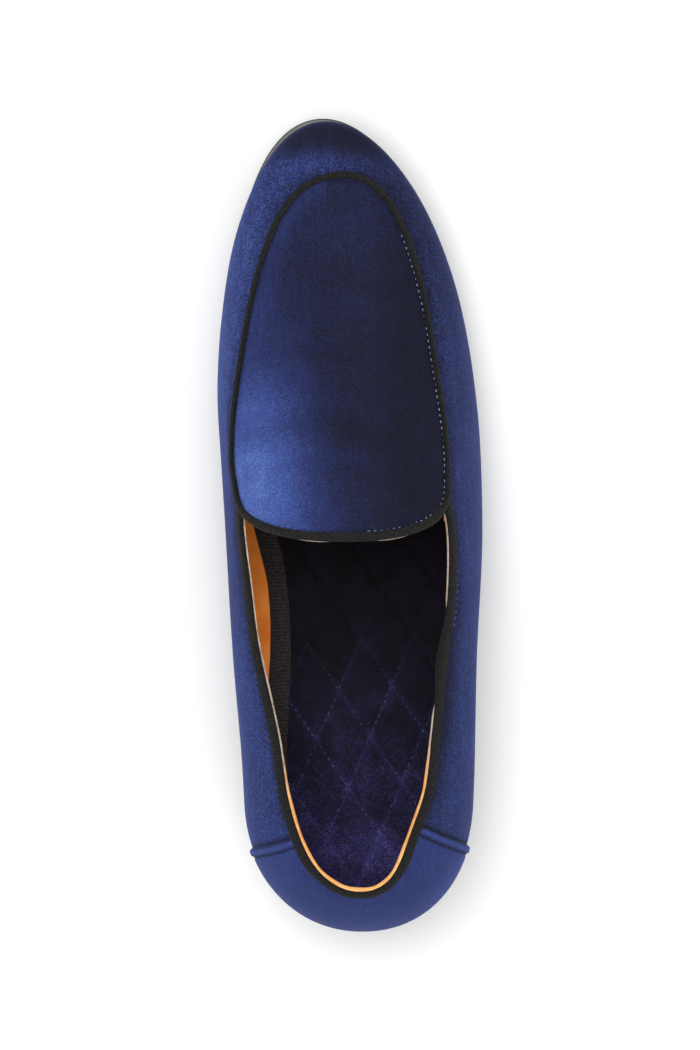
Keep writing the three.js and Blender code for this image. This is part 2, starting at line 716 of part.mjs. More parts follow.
const velvet = { color: 0x2b3566, roughness: 0.92 };
const tape = { color: 0x1f1e1d, roughness: 0.7 };
const PARTS = [
  { name: "outsole", solid: makeOutsole(), look: { color: 0x4c504b, roughness: 0.75 } },
  { name: "heel", solid: makeHeel(), look: { color: 0x26262a, roughness: 0.7 } },
  { name: "upper", solid: upper, look: velvet },
  { name: "counter", solid: makeCounter(), look: { color: 0x36437a, roughness: 0.9 } },
  { name: "collar_binding", solid: makeBinding(), look: tape },
  { name: "apron_piping", solid: makePiping(), look: tape },
  { name: "insole", solid: makeInsole(), look: { color: 0x16172e, roughness: 0.95 } },
];

/** Three.js geometry of a solid. */
function geometryOf(solid) {
  const mesh = solid.getMesh();
  const geometry = new THREE.BufferGeometry();
  geometry.setAttribute("position", new THREE.BufferAttribute(new Float32Array(mesh.vertProperties), 3));
  geometry.setIndex(new THREE.BufferAttribute(new Uint32Array(mesh.triVerts), 1));
  return geometry;
}

const shoe = new THREE.Group();
shoe.name = "velvet_loafer";
for (const { name, solid, look } of PARTS) {
  const mesh = new THREE.Mesh(geometryOf(solid), new THREE.MeshStandardMaterial(look));
  mesh.name = name;
  shoe.add(mesh);
}

// Origin at the middle of the underside
const bounds = new THREE.Box3().setFromObject(shoe);
const middle = bounds.getCenter(new THREE.Vector3());
for (const mesh of shoe.children) {
  mesh.geometry.translate(-middle.x, -middle.y, -bounds.min.z);
  mesh.geometry.computeVertexNormals();
}

export default shoe;
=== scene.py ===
"""Velvet slipper loafer for the right foot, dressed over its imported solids.

Shapes are worked out in millimetres from the back of the last, with the toe along +Y, the outer
side of the foot along +X and up along +Z. Meshes are handed over in metres in the row frame.
"""

import math

import bpy
import numpy as np
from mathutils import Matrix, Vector


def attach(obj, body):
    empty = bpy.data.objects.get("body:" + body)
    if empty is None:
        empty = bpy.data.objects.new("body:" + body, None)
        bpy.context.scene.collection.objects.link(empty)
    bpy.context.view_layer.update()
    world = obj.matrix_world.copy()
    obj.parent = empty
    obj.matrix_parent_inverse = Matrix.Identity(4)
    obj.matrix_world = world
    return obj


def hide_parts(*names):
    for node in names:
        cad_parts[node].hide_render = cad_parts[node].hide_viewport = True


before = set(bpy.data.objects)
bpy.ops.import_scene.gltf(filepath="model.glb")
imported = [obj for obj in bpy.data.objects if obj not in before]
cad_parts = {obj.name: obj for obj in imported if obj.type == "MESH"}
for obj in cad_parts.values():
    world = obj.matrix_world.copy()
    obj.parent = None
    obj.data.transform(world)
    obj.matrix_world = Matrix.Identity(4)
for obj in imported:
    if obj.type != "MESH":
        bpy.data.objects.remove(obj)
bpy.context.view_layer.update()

# Where the row frame's origin lies, in millimetres from the back of the last
ORIGIN = np.array([-0.1213, 142.7216, 0.0])
MM = 0.001

# Sizes of the last and sole, as in the part's source
LENGTH = 286
BALL_WIDTH = 92.5
HEEL_WIDTH = 79.5
TOE_ROUND = 110
HEEL_ROUND = 44
HEEL_POWER = 2.1
HEEL_HEIGHT = 18
SEAT_PITCH = 1
TOE_SPRING = 12
TOE_SPRING_POWER = 1.9
TREAD_FROM = 0.56
TREAD_TO = 0.69
SEAT_FRONT = 0.22
SPINE_FROM = 0.12
SPINE_TO = 0.84
TOE_BOX = 30
INSTEP = 66.5
BACK_HEIGHT = 55
ARCH_TUCK = 20
WALL = 1.6
INSOLE_THICKNESS = 4
INSOLE_CLEARANCE = 2.2
SOLE_THICKNESS = 4.5
SOLE_MARGIN = 1.3
TOE_MARGIN = 1.9
TOE_MARGIN_AT = 1.06 * math.pi
TOE_MARGIN_SPAN = 0.4
THROAT_CORNER = 148.5
WAIST_LIFT = 1.3
WAIST_LIFT_AT = 97
WAIST_LIFT_SPAN = 16
HEEL_LEAN = 1.0
HEEL_LEAN_AT = 29
HEEL_LEAN_SPAN = 15
HALVINGS = 34
STEP = 0.004

# Share of length, spread from heel width to ball width, centre line in ball widths
OUTLINE = [
    (0.0, 0.0, 0.046),
    (0.1, 0.0, 0.034),
    (0.2, 0.2, 0.031),
    (0.33, 0.5, 0.018),
    (0.5, 0.93, 0.013),
    (0.6, 1.0, -0.001),
    (0.66, 1.0, -0.014),
    (0.72, 1.0, -0.024),
    (0.78, 1.0, -0.034),
    (0.84, 1.0, -0.048),
    (0.9, 1.0, -0.062),
    (1.0, 1.0, -0.093),
]

# Share of length, ridge line in ball widths, ridge height between toe box and instep
RIDGE = [
    (0.12, 0.034, 0.91),
    (0.19, 0.032, 0.775),
    (0.25, 0.026, 0.725),
    (0.32, 0.014, 0.765),
    (0.38, -0.003, 0.84),
    (0.43, -0.016, 0.925),
    (0.485, -0.034, 1.0),
    (0.54, -0.052, 0.93),
    (0.6, -0.068, 0.71),
    (0.65, -0.077, 0.51),
    (0.7, -0.083, 0.335),
    (0.75, -0.087, 0.18),
    (0.8, -0.091, 0.055),
    (0.84, -0.093, 0.0),
]

# Share of length, height of the widest line, fullness inside and outside, tuck inside and outside
SECTION = [
    (0.0, 19, 2.05, 2.05, 0.21, 0.21),
    (0.1, 19, 2.15, 2.02, 0.25, 0.25),
    (0.2, 20, 2.18, 2.02, 0.55, 0.32),
    (0.3, 23, 2.1, 1.95, 0.92, 0.45),
    (0.4, 25, 2.12, 1.92, 1.0, 0.5),
    (0.5, 20, 2.5, 1.98, 0.75, 0.38),
    (0.6, 14, 2.8, 1.95, 0.3, 0.22),
    (0.7, 12, 2.7, 1.95, 0.2, 0.18),
    (0.8, 11, 2.5, 2.0, 0.16, 0.16),
    (0.9, 10, 2.3, 2.1, 0.12, 0.12),
    (1.0, 9, 2.2, 2.2, 0.08, 0.08),
]

# Share of length, collar height over the sole in back heights
COLLAR = [
    (0.0, 0.992),
    (0.05, 0.984),
    (0.1, 0.96),
    (0.18, 0.89),
    (0.27, 0.845),
    (0.36, 0.84),
    (0.43, 0.88),
    (0.48, 0.905),
    (0.54, 0.925),
    (0.6, 0.935),
]

# Degrees round the outline from the heel, reach of the apron seam from ridge to widest line
APRON = [
    (90, 0.74),
    (96, 0.752),
    (101, 0.764),
    (107, 0.76),
    (115, 0.749),
    (122, 0.754),
    (134, 0.774),
    (142, 0.785),
    (149, 0.779),
    (156, 0.752),
    (163, 0.695),
    (172, 0.606),
    (180, 0.563),
    (187, 0.559),
    (200, 0.607),
    (212, 0.67),
    (220, 0.704),
    (227, 0.733),
    (236, 0.768),
    (246, 0.812),
    (251, 0.842),
    (257, 0.882),
    (261, 0.897),
    (265, 0.87),
    (270, 0.84),
]

# Rear end of the apron's edging in plan: a rounded box with this middle, half width and depth
THROAT_MIDDLE = -2.9
THROAT_HALF = 37.2
THROAT_FRONT = 154.5
THROAT_DEPTH = 16
THROAT_POWER = 2.5

# Front line of the counter in side view
COUNTER_TOP_OUTER = 38.6
COUNTER_TOP_INNER = 33.7
COUNTER_TOP_HEIGHT = 78
COUNTER_FOOT_AT = 27.5
COUNTER_FOOT_HEIGHT = 20
COUNTER_SAG_OUTER = 3.3
COUNTER_SAG_INNER = 2.05
COUNTER_SAG_POWER = 3


# Shape of the last


def smooth_step(x, low, high):
    """Smooth climb from 0 at low to 1 at high."""
    s = np.clip((x - low) / (high - low), 0, 1)
    return s * s * (3 - 2 * s)


def hump(x, middle, span):
    """Bell curve of height one."""
    return np.exp(-(((x - middle) / span) ** 2))


def curve(table, column=1):
    """Cubic through a table's rows, with weighted slopes inside and plain slopes at the ends."""
    xs = np.array([row[0] for row in table], float)
    ys = np.array([row[column] for row in table], float)
    spans = np.diff(xs)
    slopes = np.diff(ys) / spans
    inner = (slopes[:-1] * spans[1:] + slopes[1:] * spans[:-1]) / (spans[:-1] + spans[1:])
    tangents = np.concatenate([slopes[:1], inner, slopes[-1:]])

    def value(x):
        at = np.clip(x, xs[0], xs[-1])
        i = np.clip(np.searchsorted(xs, at) - 1, 0, len(spans) - 1)
        s = (at - xs[i]) / spans[i]
        ends = ys[i] * (2 * s**3 - 3 * s**2 + 1) + ys[i + 1] * (3 * s**2 - 2 * s**3)
        turns = tangents[i] * (s**3 - 2 * s**2 + s) + tangents[i + 1] * (s**3 - s**2)
        return ends + spans[i] * turns

    return value


spread_at = curve(OUTLINE, 1)
centre_at = curve(OUTLINE, 2)
ridge_side_at = curve(RIDGE, 1)
ridge_height_at = curve(RIDGE, 2)
bulge_at, full_in_at, full_out_at, tuck_in_at, tuck_out_at = (curve(SECTION, k) for k in range(1, 6))
collar_at = curve(COLLAR)
apron_at = curve(APRON)


def share_of(phi):
    """Share of the length reached at an angle round the outline: (1 - cos) / 2."""
    return (1 - np.cos(phi)) / 2


def half_width(t):
    """Half of the outline's width: heel to ball width, rounded by a superellipse and an ellipse."""
    full = 0.5 * (HEEL_WIDTH + (BALL_WIDTH - HEEL_WIDTH) * spread_at(t))
    heel = np.clip(1 - t * LENGTH / HEEL_ROUND, 0, 1)
    toe = np.clip(1 - (1 - t) * LENGTH / TOE_ROUND, 0, 1)
    return full * (1 - heel**HEEL_POWER) ** (1 / HEEL_POWER) * np.sqrt(1 - toe**2)


def sole_bottom(t):
    """Height of the sole's underside: flat tread, toe spring, arch and heel seat."""
    ahead = np.maximum((t - TREAD_TO) / (1 - TREAD_TO), 0)
    rise = np.clip((TREAD_FROM - t) / (TREAD_FROM - SEAT_FRONT), 0, 1)
    seat = np.maximum((SEAT_FRONT - t) / SEAT_FRONT, 0)
    heel = HEEL_HEIGHT * rise**2 * (3 - 2 * rise)
    return TOE_SPRING * ahead**TOE_SPRING_POWER + heel + SEAT_PITCH * seat


def sole_top(t):
    """Height of the sole's upper face."""
    return sole_bottom(t) + SOLE_THICKNESS


def collar_height(t):
    """Height of the collar line at a share of the length."""
    return sole_top(t) + BACK_HEIGHT * collar_at(t)


def columns_at(phi):
    """Plan points at the widest line and the ridge, and the section's values, at each angle."""
    t = share_of(phi)
    outer = np.sin(phi) >= 0
    spine = SPINE_FROM + (SPINE_TO - SPINE_FROM) * t
    across = centre_at(t) * BALL_WIDTH + np.where(outer, 1, -1) * half_width(t)
    wide = np.stack([across, t * LENGTH], -1)
    ridge = np.stack([ridge_side_at(spine) * BALL_WIDTH, spine * LENGTH], -1)
    top = sole_top(spine) + TOE_BOX + (INSTEP - TOE_BOX) * ridge_height_at(spine)
    full = np.where(outer, full_out_at(t), full_in_at(t))
    tuck = ARCH_TUCK * np.where(outer, tuck_out_at(t), tuck_in_at(t))
    return t, wide, ridge, top, full, tuck, bulge_at(t)


def last_point(phi, rise):
    """Point of the last: rise goes from -1 at the feather edge by 0 at the widest line to 1 at
    the ridge, on a parabola below and a superellipse quadrant above."""
    phi, rise = np.broadcast_arrays(np.asarray(phi, float), np.asarray(rise, float))
    t, wide, ridge, top, full, tuck, bulge = columns_at(phi)
    low = np.maximum(-rise, 0)
    turn = np.clip(rise, 0, 1) * np.pi / 2
    length = np.linalg.norm(wide - ridge, axis=-1)
    above = np.maximum(np.cos(turn), 0) ** (2 / full)
    out = np.where(rise < 0, 1 - tuck * low**2 / length, above)
    wide_height = sole_top(t) + bulge
    up = np.sin(turn) ** (2 / full)
    height = np.where(rise < 0, wide_height - bulge * low, wide_height + (top - wide_height) * up)
    plan = ridge + (wide - ridge) * out[..., None]
    return np.concatenate([plan, height[..., None]], -1)


def unit(vectors):
    """Vectors scaled to length one."""
    return vectors / np.maximum(np.linalg.norm(vectors, axis=-1, keepdims=True), 1e-9)


def last_normal(phi, rise):
    """Outward normal of the last from small steps both ways."""
    phi, rise = np.broadcast_arrays(np.asarray(phi, float), np.asarray(rise, float))
    along = last_point(phi + STEP, rise) - last_point(phi - STEP, rise)
    up = last_point(phi, rise + STEP) - last_point(phi, rise - STEP)
    return unit(np.cross(along, up))


def on_last(phi, rise):
    """Points of the last and its normals there."""
    return last_point(phi, rise), last_normal(phi, rise)


def off_last(phi, rise, distance):
    """Point at a distance outside the last, along its normal."""
    distance = np.broadcast_to(distance, np.broadcast(phi, rise).shape)
    return last_point(phi, rise) + last_normal(phi, rise) * distance[..., None]


def bisect(miss, low, high):
    """Roots of a function of an array between two bounds where its sign changes, by halving."""
    low, high = np.array(low, float), np.array(high, float)
    start = np.sign(miss(low))
    for _ in range(HALVINGS):
        middle = (low + high) / 2
        same = np.sign(miss(middle)) == start
        low, high = np.where(same, middle, low), np.where(same, high, middle)
    return (low + high) / 2


def rise_of_reach(phi, reach):
    """Rise of the point whose reach from ridge to widest line is given."""
    full = columns_at(phi)[4]
    return 2 / np.pi * np.arccos(np.clip(reach, 0, 1) ** (full / 2))


def collar_rise(phi):
    """Rise at which each column meets the collar line, which swells a little at the outer waist
    and leans to the inner side round the heel."""
    outer = np.sin(phi) > 0
    side = np.clip(3 * np.sin(phi), -1, 1)

    def miss(rise):
        point = last_point(phi, rise)
        y = point[..., 1]
        lift = outer * WAIST_LIFT * hump(y, WAIST_LIFT_AT, WAIST_LIFT_SPAN)
        lift = lift + side * HEEL_LEAN * hump(y, HEEL_LEAN_AT, HEEL_LEAN_SPAN)
        return point[..., 2] - collar_height(y / LENGTH) - lift

    return bisect(miss, np.zeros_like(phi), np.ones_like(phi))


def corner_angle(side):
    """Angle at which the collar line reaches the corner of the throat."""

    def miss(angle):
        return last_point(side * angle, collar_rise(side * angle))[..., 1] - THROAT_CORNER

    return side * bisect(miss, [np.pi * 0.3], [np.pi * 0.7])[0]


OUTER_CORNER = corner_angle(1)
INNER_CORNER = 2 * np.pi + corner_angle(-1)


def seam_reach(phi):
    """Reach of the apron seam at an angle from 0 to 2 pi."""
    return apron_at(np.degrees(np.mod(phi, 2 * np.pi)))


def skin_top(phi):
    """Rise of the side velvet's upper edge: the collar behind the corners, the apron seam ahead."""
    behind = (phi < OUTER_CORNER) | (phi > INNER_CORNER)
    return np.where(behind, collar_rise(phi), rise_of_reach(phi, seam_reach(phi)))


def throat_line(x):
    """Plan position of the apron's rear edge at a place across the shoe."""
    across = np.clip(np.abs((x - THROAT_MIDDLE) / THROAT_HALF), 0, 1)
    return THROAT_FRONT - THROAT_DEPTH * (1 - across**THROAT_POWER) ** (1 / THROAT_POWER)


def place_over(x, y):
    """Angle and rise of the places on the front half of the last over plan points."""
    side = np.where(x >= ridge_side_at(0.48) * BALL_WIDTH, 1.0, -1.0)

    def miss(angle):
        _, wide, ridge, *_ = columns_at(side * angle)
        line = wide - ridge
        return line[..., 0] * (y - ridge[..., 1]) - line[..., 1] * (x - ridge[..., 0])

    phi = side * bisect(miss, np.full_like(x, np.pi * 0.35), np.full_like(x, np.pi * 0.98))
    _, wide, ridge, *_ = columns_at(phi)
    reach = np.hypot(x - ridge[..., 0], y - ridge[..., 1]) / np.linalg.norm(wide - ridge, axis=-1)
    return phi, np.minimum(rise_of_reach(phi, reach), 0.995)


# Meshes from arrays

STITCH_SIDES = 6
STITCH_LEVELS = (-0.7, 0.0, 0.7)
TURN_IN = 0.9


def grid_faces(rows, cols, close_cols=False, flip=False):
    """Quads of a grid of points stored row by row, wrapped round where close_cols is set."""
    r = np.arange(rows - 1)[:, None]
    c = np.arange(cols if close_cols else cols - 1)[None, :]
    a = r * cols + c
    b = r * cols + (c + 1) % cols
    faces = np.stack([a, b, b + cols, a + cols], -1).reshape(-1, 4)
    return faces[:, ::-1] if flip else faces


def end_caps(rows, cols):
    """Polygons over the first and the last ring of a grid."""
    return [list(range(cols - 1, -1, -1)), list(range((rows - 1) * cols, rows * cols))]


def piece(name, points, faces, material, *, replaces=(), slot=None, uv=None, values=None, polys=()):
    """Mesh object from points in millimetres, riding on the one body, with its finish; its slot is not
    used.
    Each value is one number per point or one for all."""
    points = (np.asarray(points, float).reshape(-1, 3) - ORIGIN) * MM
    mesh = bpy.data.meshes.new(name)
    mesh.from_pydata(points.tolist(), [], [*np.asarray(faces).tolist(), *[list(p) for p in polys]])
    loops = np.zeros(len(mesh.loops), int)
    mesh.loops.foreach_get("vertex_index", loops)
    if uv is not None:
        layer = mesh.uv_layers.new(name="lay")
        layer.data.foreach_set("uv", (np.asarray(uv, float).reshape(-1, 2) * MM)[loops].ravel())
    for key, value in (values or {}).items():
        attribute = mesh.attributes.new(key, "FLOAT", "POINT")
        attribute.data.foreach_set("value", np.broadcast_to(np.ravel(value), len(points)).astype(float))
    mesh.polygons.foreach_set("use_smooth", np.ones(len(mesh.polygons), bool))
    mesh.materials.append(material)
    mesh.validate()
    made = bpy.data.objects.new(name, mesh)
    bpy.context.scene.collection.objects.link(made)
    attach(made, "root")
    if replaces:
        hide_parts(*replaces)
    return made


def run_along(points):
    """Distance travelled from the first row of points to each row."""
    steps = np.linalg.norm(np.diff(points, axis=0), axis=-1)
    return np.concatenate([np.zeros_like(steps[:1]), np.cumsum(steps, 0)])


def doubled(rows):
    """Rows with the first one given twice, for an edge that turns under."""
    return np.concatenate([rows[:1], rows])


def turned_under(skin, normal, drop):
    """Skin with a first row added that turns in and down at the sole."""
    under = skin[:1] - normal[:1] * TURN_IN - np.array([0, 0, drop])
    return np.concatenate([under, skin])


def along_line(points, normals, closed=False):
    """Tangent and side, normal x tangent, of each point along a line."""
    if closed:
        step = np.roll(points, -1, 0) - np.roll(points, 1, 0)
    else:
        step = np.gradient(points, axis=0)
    along = unit(step)
    return along, unit(np.cross(normals, along))


def ribbon(name, points, normals, section, material, *, closed=False, **ties):
    """Piece from a closed section of [side, out] pairs carried along a line; its UV is the run
    along the line and the way round the section."""
    _, side = along_line(points, normals, closed)
    section = np.broadcast_to(section, (len(points), *np.shape(section)[-2:]))
    grid = points[:, None] + side[:, None] * section[..., :1] + normals[:, None] * section[..., 1:]
    rows, cols = grid.shape[:2]
    run = np.broadcast_to(run_along(points)[:, None], (rows, cols))
    uv = np.stack([run, run_along(section.swapaxes(0, 1)).T], -1)
    faces = grid_faces(rows, cols, close_cols=True)
    if closed:
        first = np.arange(cols)
        last = first + (rows - 1) * cols
        joint = np.stack([last, np.roll(last, -1), np.roll(first, -1), first], -1)
        faces = np.concatenate([faces, joint])
    polys = [] if closed else end_caps(rows, cols)
    return piece(name, grid, faces, material, uv=uv, polys=polys, **ties)


def stitches(name, points, normals, along, size, material):
    """Small rounded threads: a ball of three rings and two poles at each place, stretched to the
    given length, width and height."""
    turn = np.linspace(0, 2 * np.pi, STITCH_SIDES, endpoint=False)
    ring = np.stack([np.cos(turn), np.sin(turn)], -1)
    rings = [np.c_[ring * math.cos(k), np.full(STITCH_SIDES, math.sin(k))] for k in STITCH_LEVELS]
    shell = np.concatenate([*rings, [[0, 0, -1], [0, 0, 1]]]) * np.asarray(size) / 2
    axes = np.stack([along, unit(np.cross(normals, along)), normals], 1)
    grid = points[:, None] + np.einsum("kj,njc->nkc", shell, axes)
    here = np.arange(STITCH_SIDES)
    after = (here + 1) % STITCH_SIDES
    pole = STITCH_SIDES * len(STITCH_LEVELS)
    upper = pole - STITCH_SIDES
    low = np.stack([here, 0 * here + pole, after], -1)
    high = np.stack([upper + here, upper + after, 0 * here + pole + 1], -1)
    shift = np.arange(len(points))[:, None, None] * len(shell)
    quads = grid_faces(len(STITCH_LEVELS), STITCH_SIDES, close_cols=True)
    faces = (quads[None] + shift).reshape(-1, 4)
    caps = (np.concatenate([low, high])[None] + shift).reshape(-1, 3)
    return piece(name, grid, faces, material, polys=caps.tolist())


def spaced(points, pitch):
    """Fractional places along a line at a fixed pitch."""
    run = run_along(points)
    return np.interp(np.arange(pitch / 2, run[-1], pitch), run, np.arange(len(points)))


def picked(values, places):
    """Rows of an array at fractional places."""
    low = np.floor(places).astype(int)
    high = np.minimum(low + 1, len(values) - 1)
    share = (places - low).reshape(-1, *[1] * (values.ndim - 1))
    return values[low] * (1 - share) + values[high] * share


# Shader nodes


def srgb(red, green, blue):
    """Scene colour of a screen colour given in 0 to 255."""
    c = np.array([red, green, blue]) / 255
    linear = np.where(c <= 0.04045, c / 12.92, ((c + 0.055) / 1.055) ** 2.4)
    return (*linear.tolist(), 1.0)


def node(tree, kind, inputs=None, **settings):
    """Node with its settings made and its inputs set, or linked where a socket is given."""
    made = tree.nodes.new(kind)
    for key, value in settings.items():
        setattr(made, key, value)
    for key, value in (inputs or {}).items():
        if isinstance(value, bpy.types.NodeSocket):
            tree.links.new(value, made.inputs[key])
        else:
            made.inputs[key].default_value = value
    return made


def calc(tree, operation, a, b=0.0, c=0.0, clamp=False):
    """Output of a math node."""
    inputs = {0: a, 1: b, 2: c}
    return node(tree, "ShaderNodeMath", inputs, operation=operation, use_clamp=clamp).outputs[0]


def weighed(tree, *parts, start=0.0):
    """Sum of (socket, weight) parts on top of a start."""
    total = start
    for socket, weight in parts:
        total = calc(tree, "MULTIPLY_ADD", socket, weight, total)
    return total


def blend_colour(tree, factor, a, b):
    """Output of a colour mix."""
    return node(tree, "ShaderNodeMix", {0: factor, 6: a, 7: b}, data_type="RGBA").outputs[2]


def ramp(tree, factor, stops):
    """Output of a colour ramp with (position, colour) stops."""
    made = node(tree, "ShaderNodeValToRGB", {0: factor})
    elements = made.color_ramp.elements
    while len(elements) < len(stops):
        elements.new(1.0)
    for element, (position, colour) in zip(elements, stops):
        element.position = position
        element.color = colour
    return made.outputs[0]


def noise(tree, vector, scale, detail=2.0, rough=0.5, distortion=0.0):
    """Output of a noise texture, about 0.5 on average."""
    inputs = {"Vector": vector, "Scale": scale, "Detail": detail, "Roughness": rough}
    inputs["Distortion"] = distortion
    return node(tree, "ShaderNodeTexNoise", inputs).outputs["Fac"]


def own_place(tree):
    """Place on the object, in metres."""
    return node(tree, "ShaderNodeTexCoord").outputs["Object"]


def own_value(tree, name):
    """Value of one of the piece's own attributes."""
    return node(tree, "ShaderNodeAttribute", attribute_name=name).outputs["Fac"]


# Finishes that several materials share: groups with a tone and a height


def new_group(name, **inputs):
    """Node group with named float inputs; gives the group, its inputs and a function that links
    its tone and height."""
    group = bpy.data.node_groups.new(name, "ShaderNodeTree")
    for key, value in inputs.items():
        socket = group.interface.new_socket(key, in_out="INPUT", socket_type="NodeSocketFloat")
        socket.default_value = value
    for key in ("Tone", "Height"):
        group.interface.new_socket(key, in_out="OUTPUT", socket_type="NodeSocketFloat")
    given, out = group.nodes.new("NodeGroupInput").outputs, group.nodes.new("NodeGroupOutput").inputs

    def give(tone, height):
        group.links.new(tone, out["Tone"])
        group.links.new(height, out["Height"])
        return group

    return group, given, give


def placed(tree, group, **inputs):
    """Outputs of a group placed in a material with its own values."""
    return node(tree, "ShaderNodeGroup", inputs, node_tree=group).outputs


def make_pile():
    """Velvet pile: clouds where the nap was brushed, streaks along the foot, specks of fibre."""
    group, given, give = new_group("pile", Cloud=0.2, Streak=0.2, Speck=0.3)
    place = own_place(group)
    cloud = noise(group, place, 42, 3, 0.55, 0.6)
    patch = noise(group, place, 150, 3, 0.6, 0.4)
    long = node(group, "ShaderNodeMapping", {"Vector": place, "Scale": (1, 0.09, 0.35)}).outputs[0]
    streak = noise(group, long, 520, 3, 0.6)
    tuft = noise(group, place, 520, 2, 0.6)
    speck = noise(group, place, 1500, 3, 0.75)
    fibre = noise(group, place, 3200, 2, 0.6)
    brushed = weighed(group, (cloud, 0.55), (patch, 0.45))
    grain = weighed(group, (speck, 0.55), (fibre, 0.35), (tuft, 0.1))
    marks = ((brushed, "Cloud"), (streak, "Streak"), (grain, "Speck"))
    tone = weighed(group, *((calc(group, "SUBTRACT", v, 0.5), given[key]) for v, key in marks))
    return give(tone, weighed(group, (grain, 0.7), (patch, 0.6)))


def make_ribs():
    """Woven tape: ribs across the tape and finer threads along it, from the piece's own UV."""
    group, given, give = new_group("ribs", Pitch=0.7, Thread=0.35)
    lay = node(group, "ShaderNodeUVMap", uv_map="lay").outputs[0]
    parts = node(group, "ShaderNodeSeparateXYZ", {0: lay}).outputs
    turn = 2 * math.pi / MM
    wobble = noise(group, lay, 300, 2)

    def waves(part, pitch, shift=0.0):
        angle = calc(group, "DIVIDE", calc(group, "MULTIPLY", part, turn), pitch)
        angle = calc(group, "MULTIPLY_ADD", wobble, shift, angle)
        return weighed(group, (calc(group, "SINE", angle), 0.5), start=0.5)

    rib, thread = waves(parts[0], given["Pitch"], 2.5), waves(parts[1], given["Thread"])
    height = weighed(group, (rib, 0.65), (thread, 0.35))
    return give(weighed(group, (height, 0.2), (noise(group, lay, 850, 3, 0.7), 0.8)), height)


def make_grain():
    """Grain of leather or moulded rubber: rounded cells with soft noise between and in them."""
    group, given, give = new_group("grain", Cell=900.0, Mottle=60.0)
    place = own_place(group)
    inputs = {"Vector": place, "Scale": given["Cell"]}
    cells = node(group, "ShaderNodeTexVoronoi", inputs, feature="SMOOTH_F1").outputs["Distance"]
    fine = noise(group, place, calc(group, "MULTIPLY", given["Cell"], 2.3), 2)
    height = weighed(group, (cells, 0.7), (fine, 0.3))
    return give(noise(group, place, given["Mottle"], 4, 0.6), height)


PILE = make_pile()
RIBS = make_ribs()
GRAIN = make_grain()


# Materials

VELVET_STOPS = [
    (0.0, srgb(11, 10, 17)),
    (0.25, srgb(24, 25, 46)),
    (0.5, srgb(38, 47, 93)),
    (0.75, srgb(62, 82, 148)),
    (1.0, srgb(104, 132, 202)),
]
INSOLE_STOPS = [
    (0.0, srgb(9, 8, 12)),
    (0.25, srgb(23, 22, 40)),
    (0.5, srgb(42, 42, 82)),
    (0.75, srgb(72, 70, 136)),
    (1.0, srgb(110, 110, 186)),
]
NAP_SHEEN = srgb(120, 140, 235)
EDGE_SIDE = [(0.3, srgb(150, 130, 114)), (0.7, srgb(212, 194, 176))]
EDGE_HEEL = [(0.3, srgb(238, 160, 82)), (0.7, srgb(255, 202, 132))]
RIM_BLACK = srgb(34, 35, 34)
# Colour of painted shade far inside the shoe
PAINTED_SHADE_BLACK = srgb(6, 5, 9)


def new_material(name):
    """Material with its tree and its main shader."""
    material = bpy.data.materials.new(name)
    material.use_nodes = True
    tree = material.node_tree
    return material, tree, tree.nodes["Principled BSDF"]


def finish(tree, shader, colour, *, rough=None, relief=None, **sockets):
    """Links the colour, a roughness of (socket, swing, start) and a bump of (height, depth in
    millimetres, strength), and sets plain values on the shader's own sockets, where an underscore
    stands for a space."""
    tree.links.new(colour, shader.inputs["Base Color"])
    if rough:
        socket, swing, start = rough
        tree.links.new(weighed(tree, (socket, swing), start=start), shader.inputs["Roughness"])
    if relief:
        height, depth, strength = relief
        inputs = {"Height": height, "Distance": depth * MM, "Strength": strength}
        tree.links.new(node(tree, "ShaderNodeBump", inputs).outputs[0], shader.inputs["Normal"])
    for key, value in sockets.items():
        shader.inputs[key.replace("_", " ")].default_value = value


def make_velvet(name, cloud, streak, speck, sheen, stops=VELVET_STOPS):
    """Short-pile velvet: the tone is the piece's own shade plus the marks of the pile."""
    material, tree, shader = new_material(name)
    specks = calc(tree, "MULTIPLY", own_value(tree, "nap"), speck)
    marks = placed(tree, PILE, Cloud=cloud, Streak=streak, Speck=specks)
    tone = calc(tree, "ADD", own_value(tree, "shade"), marks["Tone"], clamp=True)
    finish(
        tree,
        shader,
        ramp(tree, tone, stops),
        rough=(marks["Height"], 0.2, 0.75),
        relief=(marks["Height"], 0.35, 0.7),
        Sheen_Weight=sheen,
        Sheen_Roughness=0.45,
        Sheen_Tint=NAP_SHEEN,
        Specular_IOR_Level=0.15,
    )
    return material


def make_tape(name, dark, light, pitch):
    """Black woven tape."""
    material, tree, shader = new_material(name)
    ribs = placed(tree, RIBS, Pitch=pitch, Thread=0.4)
    colour = ramp(tree, ribs["Tone"], [(0.33, dark), (0.67, light)])
    rough, relief = (ribs["Tone"], 0.15, 0.7), (ribs["Height"], 0.12, 0.8)
    sheen = {"Sheen_Weight": 0.04, "Sheen_Roughness": 0.5}
    finish(tree, shader, colour, rough=rough, relief=relief, Specular_IOR_Level=0.15, **sheen)
    return material


def make_leather(name, dark, light):
    """Smooth lining leather with a fine grain and a soft mottle."""
    material, tree, shader = new_material(name)
    grain = placed(tree, GRAIN, Cell=850.0, Mottle=70.0)
    colour = ramp(tree, grain["Tone"], [(0.3, dark), (0.7, light)])
    rough, relief = (grain["Tone"], 0.25, 0.4), (grain["Height"], 0.08, 0.5)
    finish(tree, shader, colour, rough=rough, relief=relief, Specular_IOR_Level=0.35)
    return material


